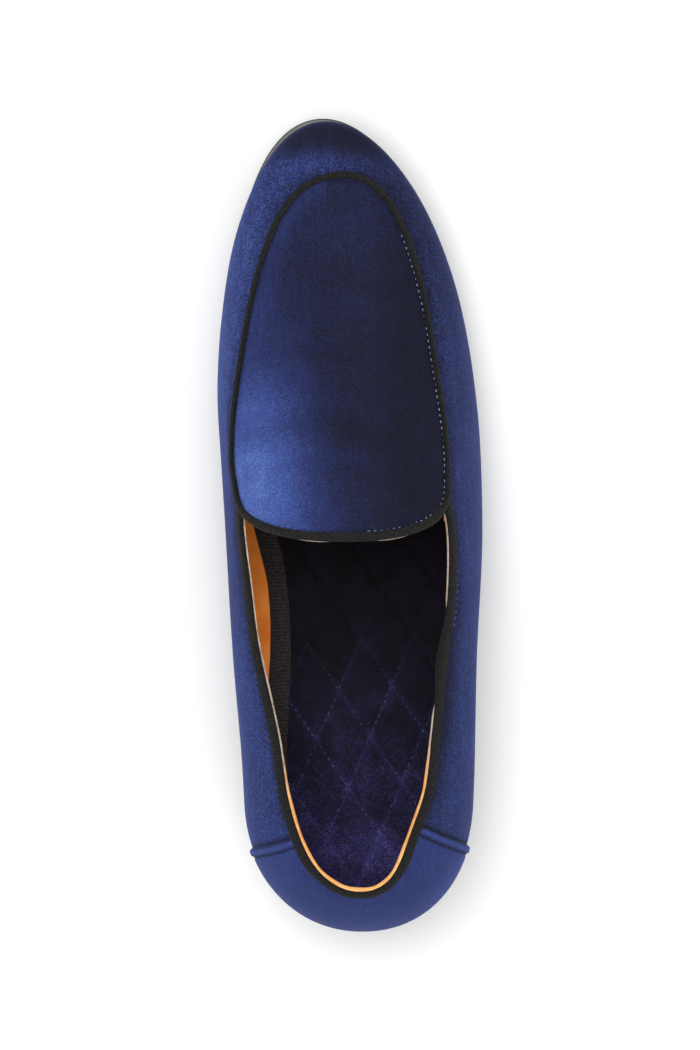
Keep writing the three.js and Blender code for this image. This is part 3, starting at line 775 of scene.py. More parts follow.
def make_cut_edge(name):
    """Cut edge of the lining: pale grey cream along the sides, warm yellow round the heel."""
    material, tree, shader = new_material(name)
    grain = placed(tree, GRAIN, Cell=1600.0, Mottle=260.0)
    side, heel = (ramp(tree, grain["Tone"], stops) for stops in (EDGE_SIDE, EDGE_HEEL))
    colour = blend_colour(tree, own_value(tree, "shade"), side, heel)
    relief = (grain["Height"], 0.1, 0.6)
    finish(tree, shader, colour, relief=relief, Roughness=0.6, Specular_IOR_Level=0.3)
    return material


def make_rubber(name, dark, light):
    """Moulded rubber with a pebbled grain, dusted a little lighter in the mottle, and near black
    where the piece's rim attribute is one."""
    material, tree, shader = new_material(name)
    grain = placed(tree, GRAIN, Cell=1300.0, Mottle=90.0)
    body = ramp(tree, grain["Tone"], [(0.3, dark), (0.75, light)])
    colour = blend_colour(tree, own_value(tree, "rim"), body, RIM_BLACK)
    finish(tree, shader, colour, rough=(grain["Tone"], 0.3, 0.4), relief=(grain["Height"], 0.1, 0.4))
    return material


def make_thread(name, dark, light, shade_span=None):
    """Sewing thread with a slight sheen; between two places along Y it turns to painted shade, near
    black.
    """
    material, tree, shader = new_material(name)
    place = own_place(tree)
    twist = weighed(tree, (noise(tree, place, 900, 2), 0.4), (noise(tree, place, 230, 2), 0.6))
    colour = ramp(tree, twist, [(0.4, dark), (0.6, light)])
    if shade_span:
        along = node(tree, "ShaderNodeSeparateXYZ", {0: place}).outputs[1]
        inputs = {"Value": along, "From Min": shade_span[0], "From Max": shade_span[1]}
        painted_shade = node(tree, "ShaderNodeMapRange", inputs, interpolation_type="SMOOTHSTEP").outputs[0]
        colour = blend_colour(tree, painted_shade, colour, PAINTED_SHADE_BLACK)
    finish(tree, shader, colour, Roughness=0.6, Sheen_Weight=0.05, Specular_IOR_Level=0.2)
    return material


VELVET = make_velvet("side_velvet", 0.16, 0.22, 1.9, 0.2)
APRON_VELVET = make_velvet("apron_velvet", 0.22, 0.12, 1.1, 0.06)
COUNTER_VELVET = make_velvet("counter_velvet", 0.14, 0.1, 0.7, 0.17)
INSOLE_VELVET = make_velvet("insole_velvet", 0.85, 0.0, 2.2, 0.14, INSOLE_STOPS)
TAPE = make_tape("collar_tape", srgb(5, 5, 6), srgb(35, 34, 33), 1.1)
PIPING = make_tape("piping_tape", srgb(5, 5, 6), srgb(37, 36, 35), 0.9)
TWILL = make_tape("twill_tape", srgb(12, 12, 13), srgb(55, 52, 52), 1.3)
LINING = make_leather("lining_leather", srgb(214, 116, 38), srgb(242, 150, 62))
LINING_EDGE = make_cut_edge("lining_edge")
SOLE_RUBBER = make_rubber("sole_rubber", srgb(112, 114, 108), srgb(148, 151, 144))
HEEL_RUBBER = make_rubber("heel_rubber", srgb(30, 30, 32), srgb(48, 48, 50))
# Navy thread with a painted glint, for stitches that catch the light along the apron's outer side
PAINTED_GLINT_THREAD = make_thread("painted_glint_thread", srgb(34, 38, 66), srgb(150, 160, 194))
NAVY_THREAD = make_thread("navy_thread", srgb(18, 20, 40), srgb(34, 38, 74))
# Navy thread with a painted blue glint, for the binding's stitches at the outer waist
PAINTED_BLUE_GLINT_THREAD = make_thread("painted_blue_glint_thread", srgb(40, 52, 110), srgb(80, 100, 180))
# The violet thread turns to near black painted shade under the throat
VIOLET_THREAD = make_thread("violet_thread", srgb(20, 17, 38), srgb(84, 80, 138), (-0.07, -0.035))


# Velvet of the sides

SIDE_COLUMNS = 600
SIDE_ROWS = 64
SIDE_DROP = 0.34
SEAM_DIP = 0.55
SEAM_DIP_SPAN = 1.7
SEAM_ROLL = 0.22
SEAM_ROLL_AT = 4.2
SEAM_ROLL_SPAN = 2.4
COLLAR_RELIEF = 0.35
COLLAR_RELIEF_IN = 2.6
SIDE_DENT = 0.12
SIDE_TONE = 0.45
INNER_LIGHT = 0.08
FRONT_DARK = 0.04
TOE_BAND = 0.1
TOE_BAND_AT = 269
# Painted shade over the toe tip, where the velvet curves down away from the light
TOE_PAINTED_SHADE = 0.23
TOE_PAINTED_SHADE_FROM = 270
TOE_PAINTED_SHADE_TO = 281
TOE_PAINTED_SHADE_BOW = 0.006
OUTER_TOE_DARK = 0.1
COLLAR_SHADOW = 0.2
SEAM_SHADOW = 0.06
FOLD_SHADOW = 0.33
# Tone, middle and span along the shoe, start and end across it of each lighter or darker patch
SIDE_PATCHES = [
    (0.1, 226, 36, -18, -32),
    (-0.12, 134, 26, -26, -37),
    (-0.04, 44, 18, -24, -32),
    (-0.03, 198, 20, 24, 33),
]


def counter_line(side, height, share):
    """Place along the shoe of the counter's front line: it leans with height and sags with the
    share of the way from the sole to the collar."""
    outer = side > 0
    top = np.where(outer, COUNTER_TOP_OUTER, COUNTER_TOP_INNER)
    lean = (top - COUNTER_FOOT_AT) / (COUNTER_TOP_HEIGHT - COUNTER_FOOT_HEIGHT)
    sag = np.where(outer, COUNTER_SAG_OUTER, COUNTER_SAG_INNER)
    sag = sag * np.sin(np.pi * share**COUNTER_SAG_POWER)
    return COUNTER_FOOT_AT + lean * (height - COUNTER_FOOT_HEIGHT) - sag


def edge_relief(distance):
    """Dip of velvet that is sewn down at a seam, with a low roll beside it."""
    dip = SEAM_DIP * hump(distance, 0, SEAM_DIP_SPAN)
    return SEAM_ROLL * hump(distance, SEAM_ROLL_AT, SEAM_ROLL_SPAN) - dip


def side_shade(points, distance, share):
    """Tone of the side velvet by place: painted shade at the toe tip, painted shadow by the binding and
    ahead of the counter, lighter inside."""
    x, y, z = points[..., 0], points[..., 1], points[..., 2]
    shade = SIDE_TONE + INNER_LIGHT * smooth_step(-x, -10, 40)
    shade += TOE_BAND * hump(y, TOE_BAND_AT, 5) * hump(x, -6, 16)
    shade -= FRONT_DARK * smooth_step(y, 195, 225)
    # Painted shade at the toe tip
    bowed = y + TOE_PAINTED_SHADE_BOW * (x + 8) ** 2
    shade -= TOE_PAINTED_SHADE * smooth_step(bowed, TOE_PAINTED_SHADE_FROM, TOE_PAINTED_SHADE_TO)
    shade -= OUTER_TOE_DARK * smooth_step(x, -14, 24) * smooth_step(y, 205, 250)
    waist = smooth_step(x, 0, 20) * hump(y, 85, 34)
    shade -= COLLAR_SHADOW * hump(distance, 4, 4.5) * waist
    shade -= SEAM_SHADOW * hump(distance, 3, 3)
    for tone, middle, span, start, end in SIDE_PATCHES:
        shade += tone * hump(y, middle, span) * smooth_step(x, start, end)
    gap = hump(y - counter_line(x - 4, z, share), 0.2, 0.9) * smooth_step(-y, -60, -50)
    return shade - FOLD_SHADOW * (0.65 + 0.35 * smooth_step(x, 0, 10)) * gap


def side_nap(points):
    """Strength of the pile's specks: coarser towards the toe, smooth at its very tip."""
    y = points[..., 1]
    return 1 + 0.15 * smooth_step(y, 150, 235) - 0.75 * smooth_step(y, 271, 279)


def make_sides():
    """Velvet from the sole to the collar and the apron seam, in columns round the whole shoe."""
    phi = np.linspace(0, 2 * np.pi, SIDE_COLUMNS, endpoint=False)
    share = 1 - (1 - np.linspace(0, 1, SIDE_ROWS)[:, None]) ** 1.35
    rise = -1 + (skin_top(phi) + 1) * share
    bare, normal = on_last(phi, rise)
    distance = run_along(bare[::-1])[::-1]
    ahead = smooth_step(phi, OUTER_CORNER - 0.02, OUTER_CORNER + 0.08)
    ahead = ahead * (1 - smooth_step(phi, INNER_CORNER - 0.08, INNER_CORNER + 0.02))
    behind = COLLAR_RELIEF * edge_relief(distance - COLLAR_RELIEF_IN) * (1 - ahead)
    relief = edge_relief(distance) * ahead + behind
    y, z = bare[..., 1], bare[..., 2]
    dents = np.sin(y / 13 + z / 9) * np.sin(y / 37 + 1.1) * smooth_step(distance, 3, 14)
    skin = bare + normal * (relief + SIDE_DENT * dents)[..., None]
    grid = turned_under(skin, normal, SIDE_DROP)
    shade = side_shade(grid, doubled(distance), doubled(share))
    return piece(
        "velvet_sides",
        grid,
        grid_faces(*grid.shape[:2], close_cols=True),
        VELVET,
        replaces=("upper",),
        slot="velvet",
        values={"shade": shade, "nap": side_nap(grid)},
    )


# Velvet of the apron

APRON_STEPS = 190
APRON_ACROSS = 46
APRON_DENT = 0.1
CREASE_BOW = 0.004
# Place along the shoe, span and depth of each crease
CREASES = [(196, 3.0, 0.22), (204, 2.6, 0.16), (187, 3.4, 0.12)]
APRON_TONE = 0.24
APRON_TIP_LIGHT = 0.05
# Lighter inside and at the inner rear, darker along the outer side: brushed nap together with painted
# light falling from the inner side
APRON_INNER_LIGHT = 0.05
NAP_AND_PAINTED_LIGHT = 0.52
BRUSHED_MIDDLE_LIGHT = 0.1
APRON_OUTER_DARK = 0.085
# Painted sheen streak along the inner seam
APRON_EDGE_PAINTED_SHEEN = 0.12
# Place along the shoe on the inner third, bend, span and tone of each brushed arc
BRUSH_MARKS = [
    (187, 0.007, 3.0, 0.035),
    (178, 0.009, 2.6, -0.04),
    (169, 0.008, 3.2, 0.03),
    (203, 0.006, 3.5, -0.025),
    (222, 0.004, 4.0, 0.02),
]


def apron_places():
    """Angle and rise over the apron, from the throat to the toe, and v, which goes across from
    -1 at the inner seam by the ridge to 1 at the outer seam."""
    across = 1 - (1 - np.linspace(0, 1, APRON_ACROSS)) ** 1.2
    v = np.concatenate([-across[:0:-1], across])
    side = np.where(v < 0, -1.0, 1.0)

    def rise_at(phi):
        return rise_of_reach(phi, np.abs(v) * seam_reach(phi))

    def miss(angle):
        point = last_point(side * angle, rise_at(side * angle))
        return point[..., 1] - throat_line(point[..., 0])

    start = bisect(miss, np.full_like(v, math.radians(74)), np.full_like(v, math.radians(104)))
    phi = side * (start + (np.pi - start) * np.linspace(0, 1, APRON_STEPS)[:, None])
    return phi, rise_at(phi), v


def apron_relief(bare, distance):
    """Lip by the seam, soft flex creases across the apron and shallow dents."""
    relief = edge_relief(distance)
    x, y = bare[..., 0], bare[..., 1]
    for at, span, depth in CREASES:
        bow = y - at - CREASE_BOW * (x + 6) ** 2
        relief -= depth * hump(bow, 0, span) * smooth_step(distance, 3, 16)
    dents = np.sin(x / 7 + y / 19) * np.sin(y / 11 + 0.7) * smooth_step(distance, 4, 14)
    return relief + APRON_DENT * dents


def apron_shade(points, v):
    """Tone of the apron by place: bright at the inner rear, brushed nap together with painted light
    from the inner side, a painted sheen streak by the inner seam, and painted shade along the outer
    side."""
    x, y = points[..., 0], points[..., 1]
    rear = smooth_step(-y, -240, -150)
    shade = APRON_TONE + APRON_TIP_LIGHT * smooth_step(y, 225, 250)
    # Brushed nap together with painted light from the inner side
    shade += smooth_step(-x, -1, 35) * (APRON_INNER_LIGHT + NAP_AND_PAINTED_LIGHT * rear)
    shade += BRUSHED_MIDDLE_LIGHT * hump(x, -8, 12) * smooth_step(-y, -180, -145)
    # Painted shade along the outer side
    shade -= APRON_OUTER_DARK * smooth_step(x, 5, 20)
    # Painted sheen streak by the inner seam
    shade += APRON_EDGE_PAINTED_SHEEN * smooth_step(-v, 0.6, 0.95) * smooth_step(y, 195, 225)
    for at, bend, span, tone in BRUSH_MARKS:
        bow = y - at + bend * (x + 14) ** 2
        shade += tone * hump(bow, 0, span) * smooth_step(-x, -22, 0)
    return shade


def make_apron():
    """Velvet plug over the instep and toes, sewn down all round. Its last row lies along the
    ridge line at the toe, where both sides share their points."""
    phi, rise, v = apron_places()
    bare, normal = on_last(phi, rise)
    _, wide, ridge, *_ = columns_at(phi)
    length = np.linalg.norm(wide - ridge, axis=-1)
    seam = (1 - np.abs(v)) * seam_reach(phi) * length * 1.08
    distance = np.minimum(seam, np.linalg.norm(bare - bare[:1], axis=-1))
    skin = bare + normal * apron_relief(bare, distance)[..., None]
    keep = np.arange(skin[..., 0].size).reshape(skin.shape[:2])
    keep[-1] = np.minimum(keep[-1], keep[-1][::-1])
    faces = keep.ravel()[grid_faces(*skin.shape[:2], flip=True)]
    good = (faces[:, 2] != faces[:, 3]) & (faces[:, 0] != faces[:, 1])
    return piece(
        "velvet_apron",
        skin,
        faces[good],
        APRON_VELVET,
        replaces=("upper",),
        slot="velvet",
        values={"shade": apron_shade(skin, v), "nap": 1},
    )


# Lining

LINING_COLUMNS = 420
LINING_ROWS = 60
HEEL_ROLL = 2.2
REAR_ROLL = 1.15
INNER_FRONT_ROLL = 0.62
OUTER_FRONT_ROLL = 0.85
ROLL_FROM_OUTER = 61.0
ROLL_FROM_INNER = 54.0
ROLL_RUN_IN = 9.0
ROLL_LAP = 0.3
TAPE_INSIDE = 1.1
WAIST_TAPE_INSIDE = 1.5
WAIST_TAPE_AT = 97
WAIST_TAPE_SPAN = 13


def collar_lines(count):
    """Angles, rises, points and normals of the collar line from the outer corner round the heel
    to the inner corner."""
    phi = np.linspace(OUTER_CORNER, INNER_CORNER - 2 * np.pi, count)
    rise = collar_rise(phi)
    return phi, rise, *on_last(phi, rise)


def heel_share(points):
    """From 0 along the sides to 1 round the heel, where the lining's edge stands up."""
    start = np.where(points[..., 0] > 3, ROLL_FROM_OUTER, ROLL_FROM_INNER)
    return smooth_step(start - points[..., 1], -ROLL_RUN_IN, ROLL_RUN_IN)


def waist_share(points):
    """From 0 elsewhere to 1 at the outer waist, where the tape covers the lining's edge."""
    x, y = points[..., 0], points[..., 1]
    return smooth_step(y, 75, 86) * (1 - smooth_step(y, 107, 119)) * smooth_step(x, -5, 5)


def roll_width(points):
    """Width of the lining's rolled edge inside the binding: wide round the heel, thin along the
    sides, and hidden by the tape at the outer waist."""
    ahead = smooth_step(points[..., 1], 88, 106)
    inner = REAR_ROLL + (INNER_FRONT_ROLL - REAR_ROLL) * ahead
    outer = REAR_ROLL + (OUTER_FRONT_ROLL - REAR_ROLL) * ahead
    side = np.where(points[..., 0] > 3, outer * (1 - 0.9 * waist_share(points)), inner)
    return side + (HEEL_ROLL - side) * heel_share(points)


def tape_inside(points):
    """Distance from the wall's outside to the inner face of the collar tape."""
    waist = hump(points[..., 1], WAIST_TAPE_AT, WAIST_TAPE_SPAN) * smooth_step(points[..., 0], -5, 5)
    return TAPE_INSIDE + WAIST_TAPE_INSIDE * waist


def make_collar_lining():
    """Lining inside the quarters: a rolled edge behind the binding, then the wall down to the
    insole. Each column goes down the last with an offset that depends on the distance down."""
    phi, rise, points, _ = collar_lines(LINING_COLUMNS)
    rises = rise + (-1 - rise) * np.linspace(0, 1, LINING_ROWS)[:, None] ** 1.8
    bare, normal = on_last(phi, rises)
    distance = run_along(bare)
    inner = tape_inside(points) + roll_width(points) - 0.25
    offset = WALL + (inner - WALL) * (1 - smooth_step(distance, 2.5, 11.0))
    offset = offset - 0.5 * (1 - smooth_step(distance, 0.2, 1.0))
    grid = bare - normal * offset[..., None]
    faces = grid_faces(*grid.shape[:2], flip=True)
    return piece("collar_lining", grid, faces, LINING, replaces=("upper",))


def make_edge_roll():
    """Cut edge of the lining, a flat oval inside the binding that widens, thickens and wavers
    round the heel."""
    _, _, points, normals = collar_lines(520)
    heel = heel_share(points)
    run = np.arange(len(points)) / len(points)
    wave = 0.14 * np.sin(run * 90) + 0.12 * np.sin(run * 37 + 1)
    half = (roll_width(points) + wave * heel + ROLL_LAP) / 2
    middle = ROLL_LAP - tape_inside(points) - half
    drop = 0.25 * heel - 0.1 + 1.3 * waist_share(points)
    turn = np.linspace(0, 2 * np.pi, 14, endpoint=False)[::-1]
    across = middle[:, None] + half[:, None] * np.cos(turn)
    down = drop[:, None] + (0.5 + 0.2 * heel)[:, None] * np.sin(turn)
    section = np.stack([down, across], -1)
    values = {"shade": np.repeat(heel, len(turn))}
    return ribbon("lining_edge", points, normals, section, LINING_EDGE, values=values)


def make_vamp_lining():
    """Lining under the sides ahead of the collar and under the apron."""
    phi = np.linspace(OUTER_CORNER - 0.03, INNER_CORNER + 0.03, 260)
    top = rise_of_reach(phi, seam_reach(phi))
    low = off_last(phi, -1 + (top + 1) * np.linspace(0, 1, 26)[:, None], -WALL)
    faces = grid_faces(*low.shape[:2], flip=True)
    piece("vamp_lining", low, faces, LINING, replaces=("upper",))
    phis, rises, _ = apron_places()
    high = off_last(phis[::3], rises[::3], -WALL)
    return piece("apron_lining", high, grid_faces(*high.shape[:2]), LINING, replaces=("upper",))


# Binding and piping

COLLAR_STEPS = 460
SECTION_INSIDE = 2.2
HEEL_TAPE_LEG = 0.7
# Side and out of each corner of the binding's section, from its leg over the edge to the inside
BINDING_SECTION = [
    (2.6, 0.05),
    (2.55, 0.36),
    (2.3, 0.52),
    (1.6, 0.58),
    (0.7, 0.6),
    (0.0, 0.58),
    (-0.36, 0.42),
    (-0.56, 0.1),
    (-0.64, -0.35),
    (-0.65, -0.8),
    (-0.64, -1.25),
    (-0.56, -1.7),
    (-0.36, -2.02),
    (0.0, -2.18),
    (0.8, -2.2),
    (1.5, -2.1),
    (1.7, -1.8),
    (1.7, -1.5),
]


def make_binding():
    """Folded tape over the collar's edge: a rounded U carried along the collar line."""
    _, _, points, normals = collar_lines(COLLAR_STEPS)
    first, last = points[0] * 2 - points[3], points[-1] * 2 - points[-4]
    line = np.concatenate([[first], points, [last]])
    normal = np.concatenate([normals[:1], normals, normals[-1:]])
    section = np.tile(np.array(BINDING_SECTION)[::-1], (len(line), 1, 1))
    inward = section[..., 1] < 0
    section[..., 1] *= np.where(inward, (tape_inside(line) / SECTION_INSIDE)[:, None], 1)
    leg = 1 + (HEEL_TAPE_LEG - 1) * smooth_step(-line[:, 1:2], -26, -16)
    section[..., 0] *= np.where(section[..., 0] > 0, leg, 1)
    ties = {"replaces": ("collar_binding",), "slot": "tape"}
    return ribbon("binding", line, normal, section, TAPE, **ties)


def edging_line(count):
    """Closed line of the apron's edging: the seam from one side round the toe to the other, then
    the rounded rear end over the throat. Gives points and normals at an even spacing."""
    seam = np.radians(np.linspace(98, 262, 420))
    front = np.stack([seam, rise_of_reach(seam, seam_reach(seam))], -1)
    turn = np.linspace(np.pi, 0, 220)[1:-1]
    across = np.sign(np.cos(turn)) * np.abs(np.cos(turn)) ** (2 / THROAT_POWER)
    x = THROAT_MIDDLE + THROAT_HALF * across
    y = THROAT_FRONT - THROAT_DEPTH * np.sin(turn) ** (2 / THROAT_POWER)
    rear = np.stack(place_over(x, y), -1)
    both = np.concatenate([front, rear])
    loop, facing = (np.concatenate([v, v[:1]]) for v in on_last(*both.T))
    run = run_along(loop)
    marks = np.linspace(0, run[-1], count, endpoint=False)
    places = np.interp(marks, run, np.arange(len(run)))
    even, facing = (softened(picked(v, places), EDGING_SOFTENING) for v in (loop, facing))
    return even, unit(facing)


def softened(values, reach):
    """Closed run of rows smoothed by a bell-shaped window of a few places."""
    window = np.exp(-((np.arange(-2 * reach, 2 * reach + 1) / reach) ** 2))
    window /= window.sum()
    return sum(w * np.roll(values, k - 2 * reach, 0) for k, w in enumerate(window))


# Side and out of each corner of half the edging's section, from its foot to its middle
EDGING_HALF = [(1.5, -0.5), (1.55, 0.35), (1.4, 0.85), (1.05, 1.2), (0.5, 1.4), (0.0, 1.45)]
EDGING_SECTION = EDGING_HALF + [(-side, out) for side, out in EDGING_HALF[-2::-1]]
EDGING_SOFTENING = 10
EDGING_SIDE = 0.56
EDGING_TOE = 0.76
EDGING_THROAT = 0.84
edging_points, edging_normals = edging_line(900)


def edging_width(points):
    """Share of the edging's full width: full over the throat, narrow at the sides, wider at the
    toe, with the slight wander of folded cloth."""
    y = points[:, 1]
    share = EDGING_SIDE + (EDGING_THROAT - EDGING_SIDE) * smooth_step(-y, -160, -143)
    share += (EDGING_TOE - EDGING_SIDE) * smooth_step(y, 215, 252)
    run = np.arange(len(points)) * 2 * np.pi / len(points)
    wander = 0.035 * np.sin(run * 61) + 0.03 * np.sin(run * 37 + 1) + 0.02 * np.sin(run * 97 + 2)
    return share + wander


def make_edging():
    """Raised tape all round the apron: a low rounded section carried along the closed line."""
    share = edging_width(edging_points)[:, None]
    section = np.tile(EDGING_SECTION, (len(edging_points), 1, 1))
    section[..., 0] *= share
    section[..., 1] *= np.where(section[..., 1] > 0, 0.55 + 0.45 * share, 1)
    ties = {"replaces": ("apron_piping",), "slot": "piping", "closed": True}
    return ribbon("apron_edging", edging_points, edging_normals, section, PIPING, **ties)


# Side and out of each corner of the throat tape's section
THROAT_SECTION = [
    (2.2, -0.1),
    (2.1, 0.35),
    (1.2, 0.6),
    (0.0, 0.6),
    (-0.6, 0.45),
    (-0.9, 0.0),
    (-0.95, -0.8),
    (-0.9, -1.6),
    (-0.6, -2.2),
    (0.0, -2.45),
    (1.1, -2.4),
    (1.6, -2.1),
    (1.6, -1.4),
]


def make_throat_tape():
    """Tape folded over the throat's edge, from the inner corner to the outer."""
    share = np.linspace(-0.985, 0.985, 160)
    x = THROAT_MIDDLE + THROAT_HALF * share
    points, normals = on_last(*place_over(x, throat_line(x) - THROAT_TAPE_BACK))
    ties = {"replaces": ("collar_binding",), "slot": "tape"}
    return ribbon("throat_tape", points, normals, THROAT_SECTION[::-1], TAPE, **ties)


THROAT_TAPE_BACK = 0.6
# Ends across the shoe of each sliver, its place behind the throat, depth in and half thickness
THROAT_LINING = [(-20.5, -6.5), (8.8, 22.4)]
THROAT_LINING_BACK = 1.25
THROAT_LINING_IN = 1.9
THROAT_LINING_HALF = 0.48


def make_throat_lining():
    """Slivers of pale lining that peep out under the throat tape."""
    for k, (start, stop) in enumerate(THROAT_LINING):
        x = np.linspace(start, stop, 60)
        points, normals = on_last(*place_over(x, throat_line(x) - THROAT_LINING_BACK))
        swell = THROAT_LINING_HALF * np.sin(np.linspace(0, np.pi, 60)[:, None]) ** 0.4 + 0.02
        turn = np.linspace(0, 2 * np.pi, 8, endpoint=False)[::-1]
        section = np.stack([np.cos(turn) * swell, np.sin(turn) * swell - THROAT_LINING_IN], -1)
        name, values = f"throat_lining_{k}", {"shade": 0}
        ribbon(name, points, normals, section, LINING_EDGE, values=values)


# Counter

COUNTER_OFFSET = 0.95
FOLD_HEIGHT = 0.6
FOLD_WIDTH = 2.9
COUNTER_ROWS = 60
COUNTER_COLUMNS = 231
COUNTER_DROP = 0.3
COUNTER_TONE = 0.49
GROOVE_AT = FOLD_WIDTH + 0.35


def counter_front(side, share):
    """Angle at which each row of the last meets the counter's front line."""

    def miss(angle):
        phi = side * angle
        point = last_point(phi, -1 + (collar_rise(phi) + 1) * share)
        return point[..., 1] - counter_line(side, point[..., 2], share)

    return bisect(miss, np.full_like(share, 0.2), np.full_like(share, 1.6))


def make_counter():
    """Back panel from front line to front line round the heel, with a folded edge and the groove
    of its stitch line, sunk under the binding along its top."""
    share = 1 - (1 - np.linspace(0, 1, COUNTER_ROWS)) ** 1.3
    outer, inner = counter_front(1, share), counter_front(-1, share)
    u = np.linspace(0, 1, COUNTER_COLUMNS)
    u = 0.5 - 0.5 * np.sign(0.5 - u) * np.abs(1 - 2 * u) ** 0.75
    phi = outer[:, None] * (1 - u) - inner[:, None] * u
    rise = -1 + (collar_rise(phi) + 1) * share[:, None]
    bare, normal = on_last(phi, rise)
    run = run_along(bare.swapaxes(0, 1)).T
    front = np.minimum(run, run[:, -1:] - run)
    down = run_along(bare[::-1])[::-1]
    fold = smooth_step(front, 0.0, 0.7) * (1 - smooth_step(front, FOLD_WIDTH - 0.7, FOLD_WIDTH))
    height = COUNTER_OFFSET * smooth_step(front, -0.4, 0.5) + FOLD_HEIGHT * fold
    height -= 0.4 * hump(front, GROOVE_AT, 0.45)
    height *= 0.15 + 0.85 * smooth_step(down, 1.8, 5.2)
    skin = bare + normal * height[..., None]
    sunk = doubled(bare - normal * 0.2)
    skin = turned_under(skin, normal, COUNTER_DROP)
    grid = np.concatenate([sunk[:, :1], skin, sunk[:, -1:]], 1)
    x = grid[..., 0]
    across = np.pad(doubled(front), ((0, 0), (1, 1)), "edge")
    shade = COUNTER_TONE + 0.05 * smooth_step(np.abs(x - 4), 8, 36)
    # Painted shadow along the fold's front edge and painted shade in the stitch groove behind it, both
    # stronger on the outer side, and a painted highlight along the fold's top
    strength = 0.7 + 0.3 * smooth_step(x, 0, 10)
    shade -= 0.44 * strength * hump(across, -0.1, 0.6)
    shade -= 0.3 * strength * hump(across, GROOVE_AT, 0.5)
    shade += 0.07 * hump(across, FOLD_WIDTH / 2, 0.8)
    rows, cols = grid.shape[:2]
    return piece(
        "velvet_counter",
        grid,
        grid_faces(rows, cols, flip=True),
        COUNTER_VELVET,
        replaces=("counter",),
        slot="counter_velvet",
        values={"shade": shade, "nap": 1},
    )


# Insole

INSOLE_ROWS = 460
INSOLE_ACROSS = 150
QUILT_X = 14.8
QUILT_Y = 86.0
QUILT_TURN = math.radians(5.5)
QUILT_HALF_WIDTH = 9.5
QUILT_HALF_LENGTH = 17.4
QUILT_SLOPE = math.hypot(1 / QUILT_HALF_WIDTH, 1 / QUILT_HALF_LENGTH)
CHANNEL_DEPTH = 0.8
CHANNEL_SPAN = 1.5
CUP_SPAN = 3.5
INSOLE_TONE = 0.02
STITCH_PITCH = 2.3
STITCH_INSET = 3.5
UP = np.array([0, 0, 1.0])


def insole_edge(phi):
    """Edge of the insole: the point of each column of the shrunk last at the insole's height."""
    level = sole_top(share_of(phi)) + INSOLE_THICKNESS

    def miss(rise):
        return off_last(phi, rise, -INSOLE_CLEARANCE)[..., 2] - level

    rise = bisect(miss, np.full_like(phi, -1.6), np.full_like(phi, 0.2))
    return off_last(phi, rise, -INSOLE_CLEARANCE + 0.3)


def quilt_distance(x, y):
    """Distances to the nearest sewn lines of the two families that make the diamonds."""
    cos, sin = math.cos(QUILT_TURN), math.sin(QUILT_TURN)
    across = ((x - QUILT_X) * cos + (y - QUILT_Y) * sin) / QUILT_HALF_WIDTH
    ahead = ((y - QUILT_Y) * cos - (x - QUILT_X) * sin) / QUILT_HALF_LENGTH
    one, other = across + ahead, across - ahead
    return tuple(np.abs(v - 2 * np.round(v / 2)) / QUILT_SLOPE for v in (one, other))


def quilt_relief(x, y):
    """Puffed diamonds with channels along the sewn lines."""
    one, other = quilt_distance(x, y)
    channel = hump(one, 0, CHANNEL_SPAN) + hump(other, 0, CHANNEL_SPAN)
    puff = 0.25 * np.minimum(one, other) / 8
    return puff - CHANNEL_DEPTH * np.minimum(channel, 1.25)


def make_insole():
    """Quilted insole, ruled from the outer edge to the inner edge, cupped up at both."""
    phi = np.linspace(0.02, np.pi - 0.02, INSOLE_ROWS)
    outer, inner = insole_edge(phi), insole_edge(-phi)
    v = np.linspace(0, 1, INSOLE_ACROSS)
    flat = outer[:, None] * (1 - v)[:, None] + inner[:, None] * v[:, None]
    width = np.linalg.norm(outer - inner, axis=-1)[:, None]
    ends = np.minimum(phi, np.pi - phi)[:, None] * 60
    edge = np.minimum(np.minimum(v, 1 - v) * width, ends)
    relief = quilt_relief(flat[..., 0], flat[..., 1]) * smooth_step(edge, 0.5, 5)
    top = flat + UP * (relief + hump(edge, 0, CUP_SPAN) - 0.3)[..., None]
    down = UP * (INSOLE_THICKNESS - 0.4)
    left, right = outer[:, None] - down, inner[:, None] - down
    grid = np.concatenate([left, top, right], 1)
    rows, cols = grid.shape[:2]
    x, y = grid[..., 0], grid[..., 1]
    # Near black under the throat, painted shade where the inside of the shoe lies far from the light;
    # lighter toward the heel seat, partly a painted violet sheen; the specks are weaker in that painted
    # shade
    shade = INSOLE_TONE + 0.19 * smooth_step(-y, -115, -66) + 0.3 * smooth_step(-y, -66, -15)
    one, other = quilt_distance(x, y)
    # Lighter along the channels: the crushed pile's own tone together with a painted violet sheen,
    # giving way to the painted shade under the throat
    shade += 0.09 * (hump(one, 0, 1.3) + hump(other, 0, 1.3)) * smooth_step(-y, -112, -95)
    made = piece(
        "quilted_insole",
        grid,
        grid_faces(rows, cols),
        INSOLE_VELVET,
        replaces=("insole",),
        slot="insole_velvet",
        values={"shade": shade, "nap": 0.3 + 0.7 * smooth_step(-y, -110, -40)},
        polys=[cap[::-1] for cap in end_caps(rows, cols)],
    )
    return outer, inner


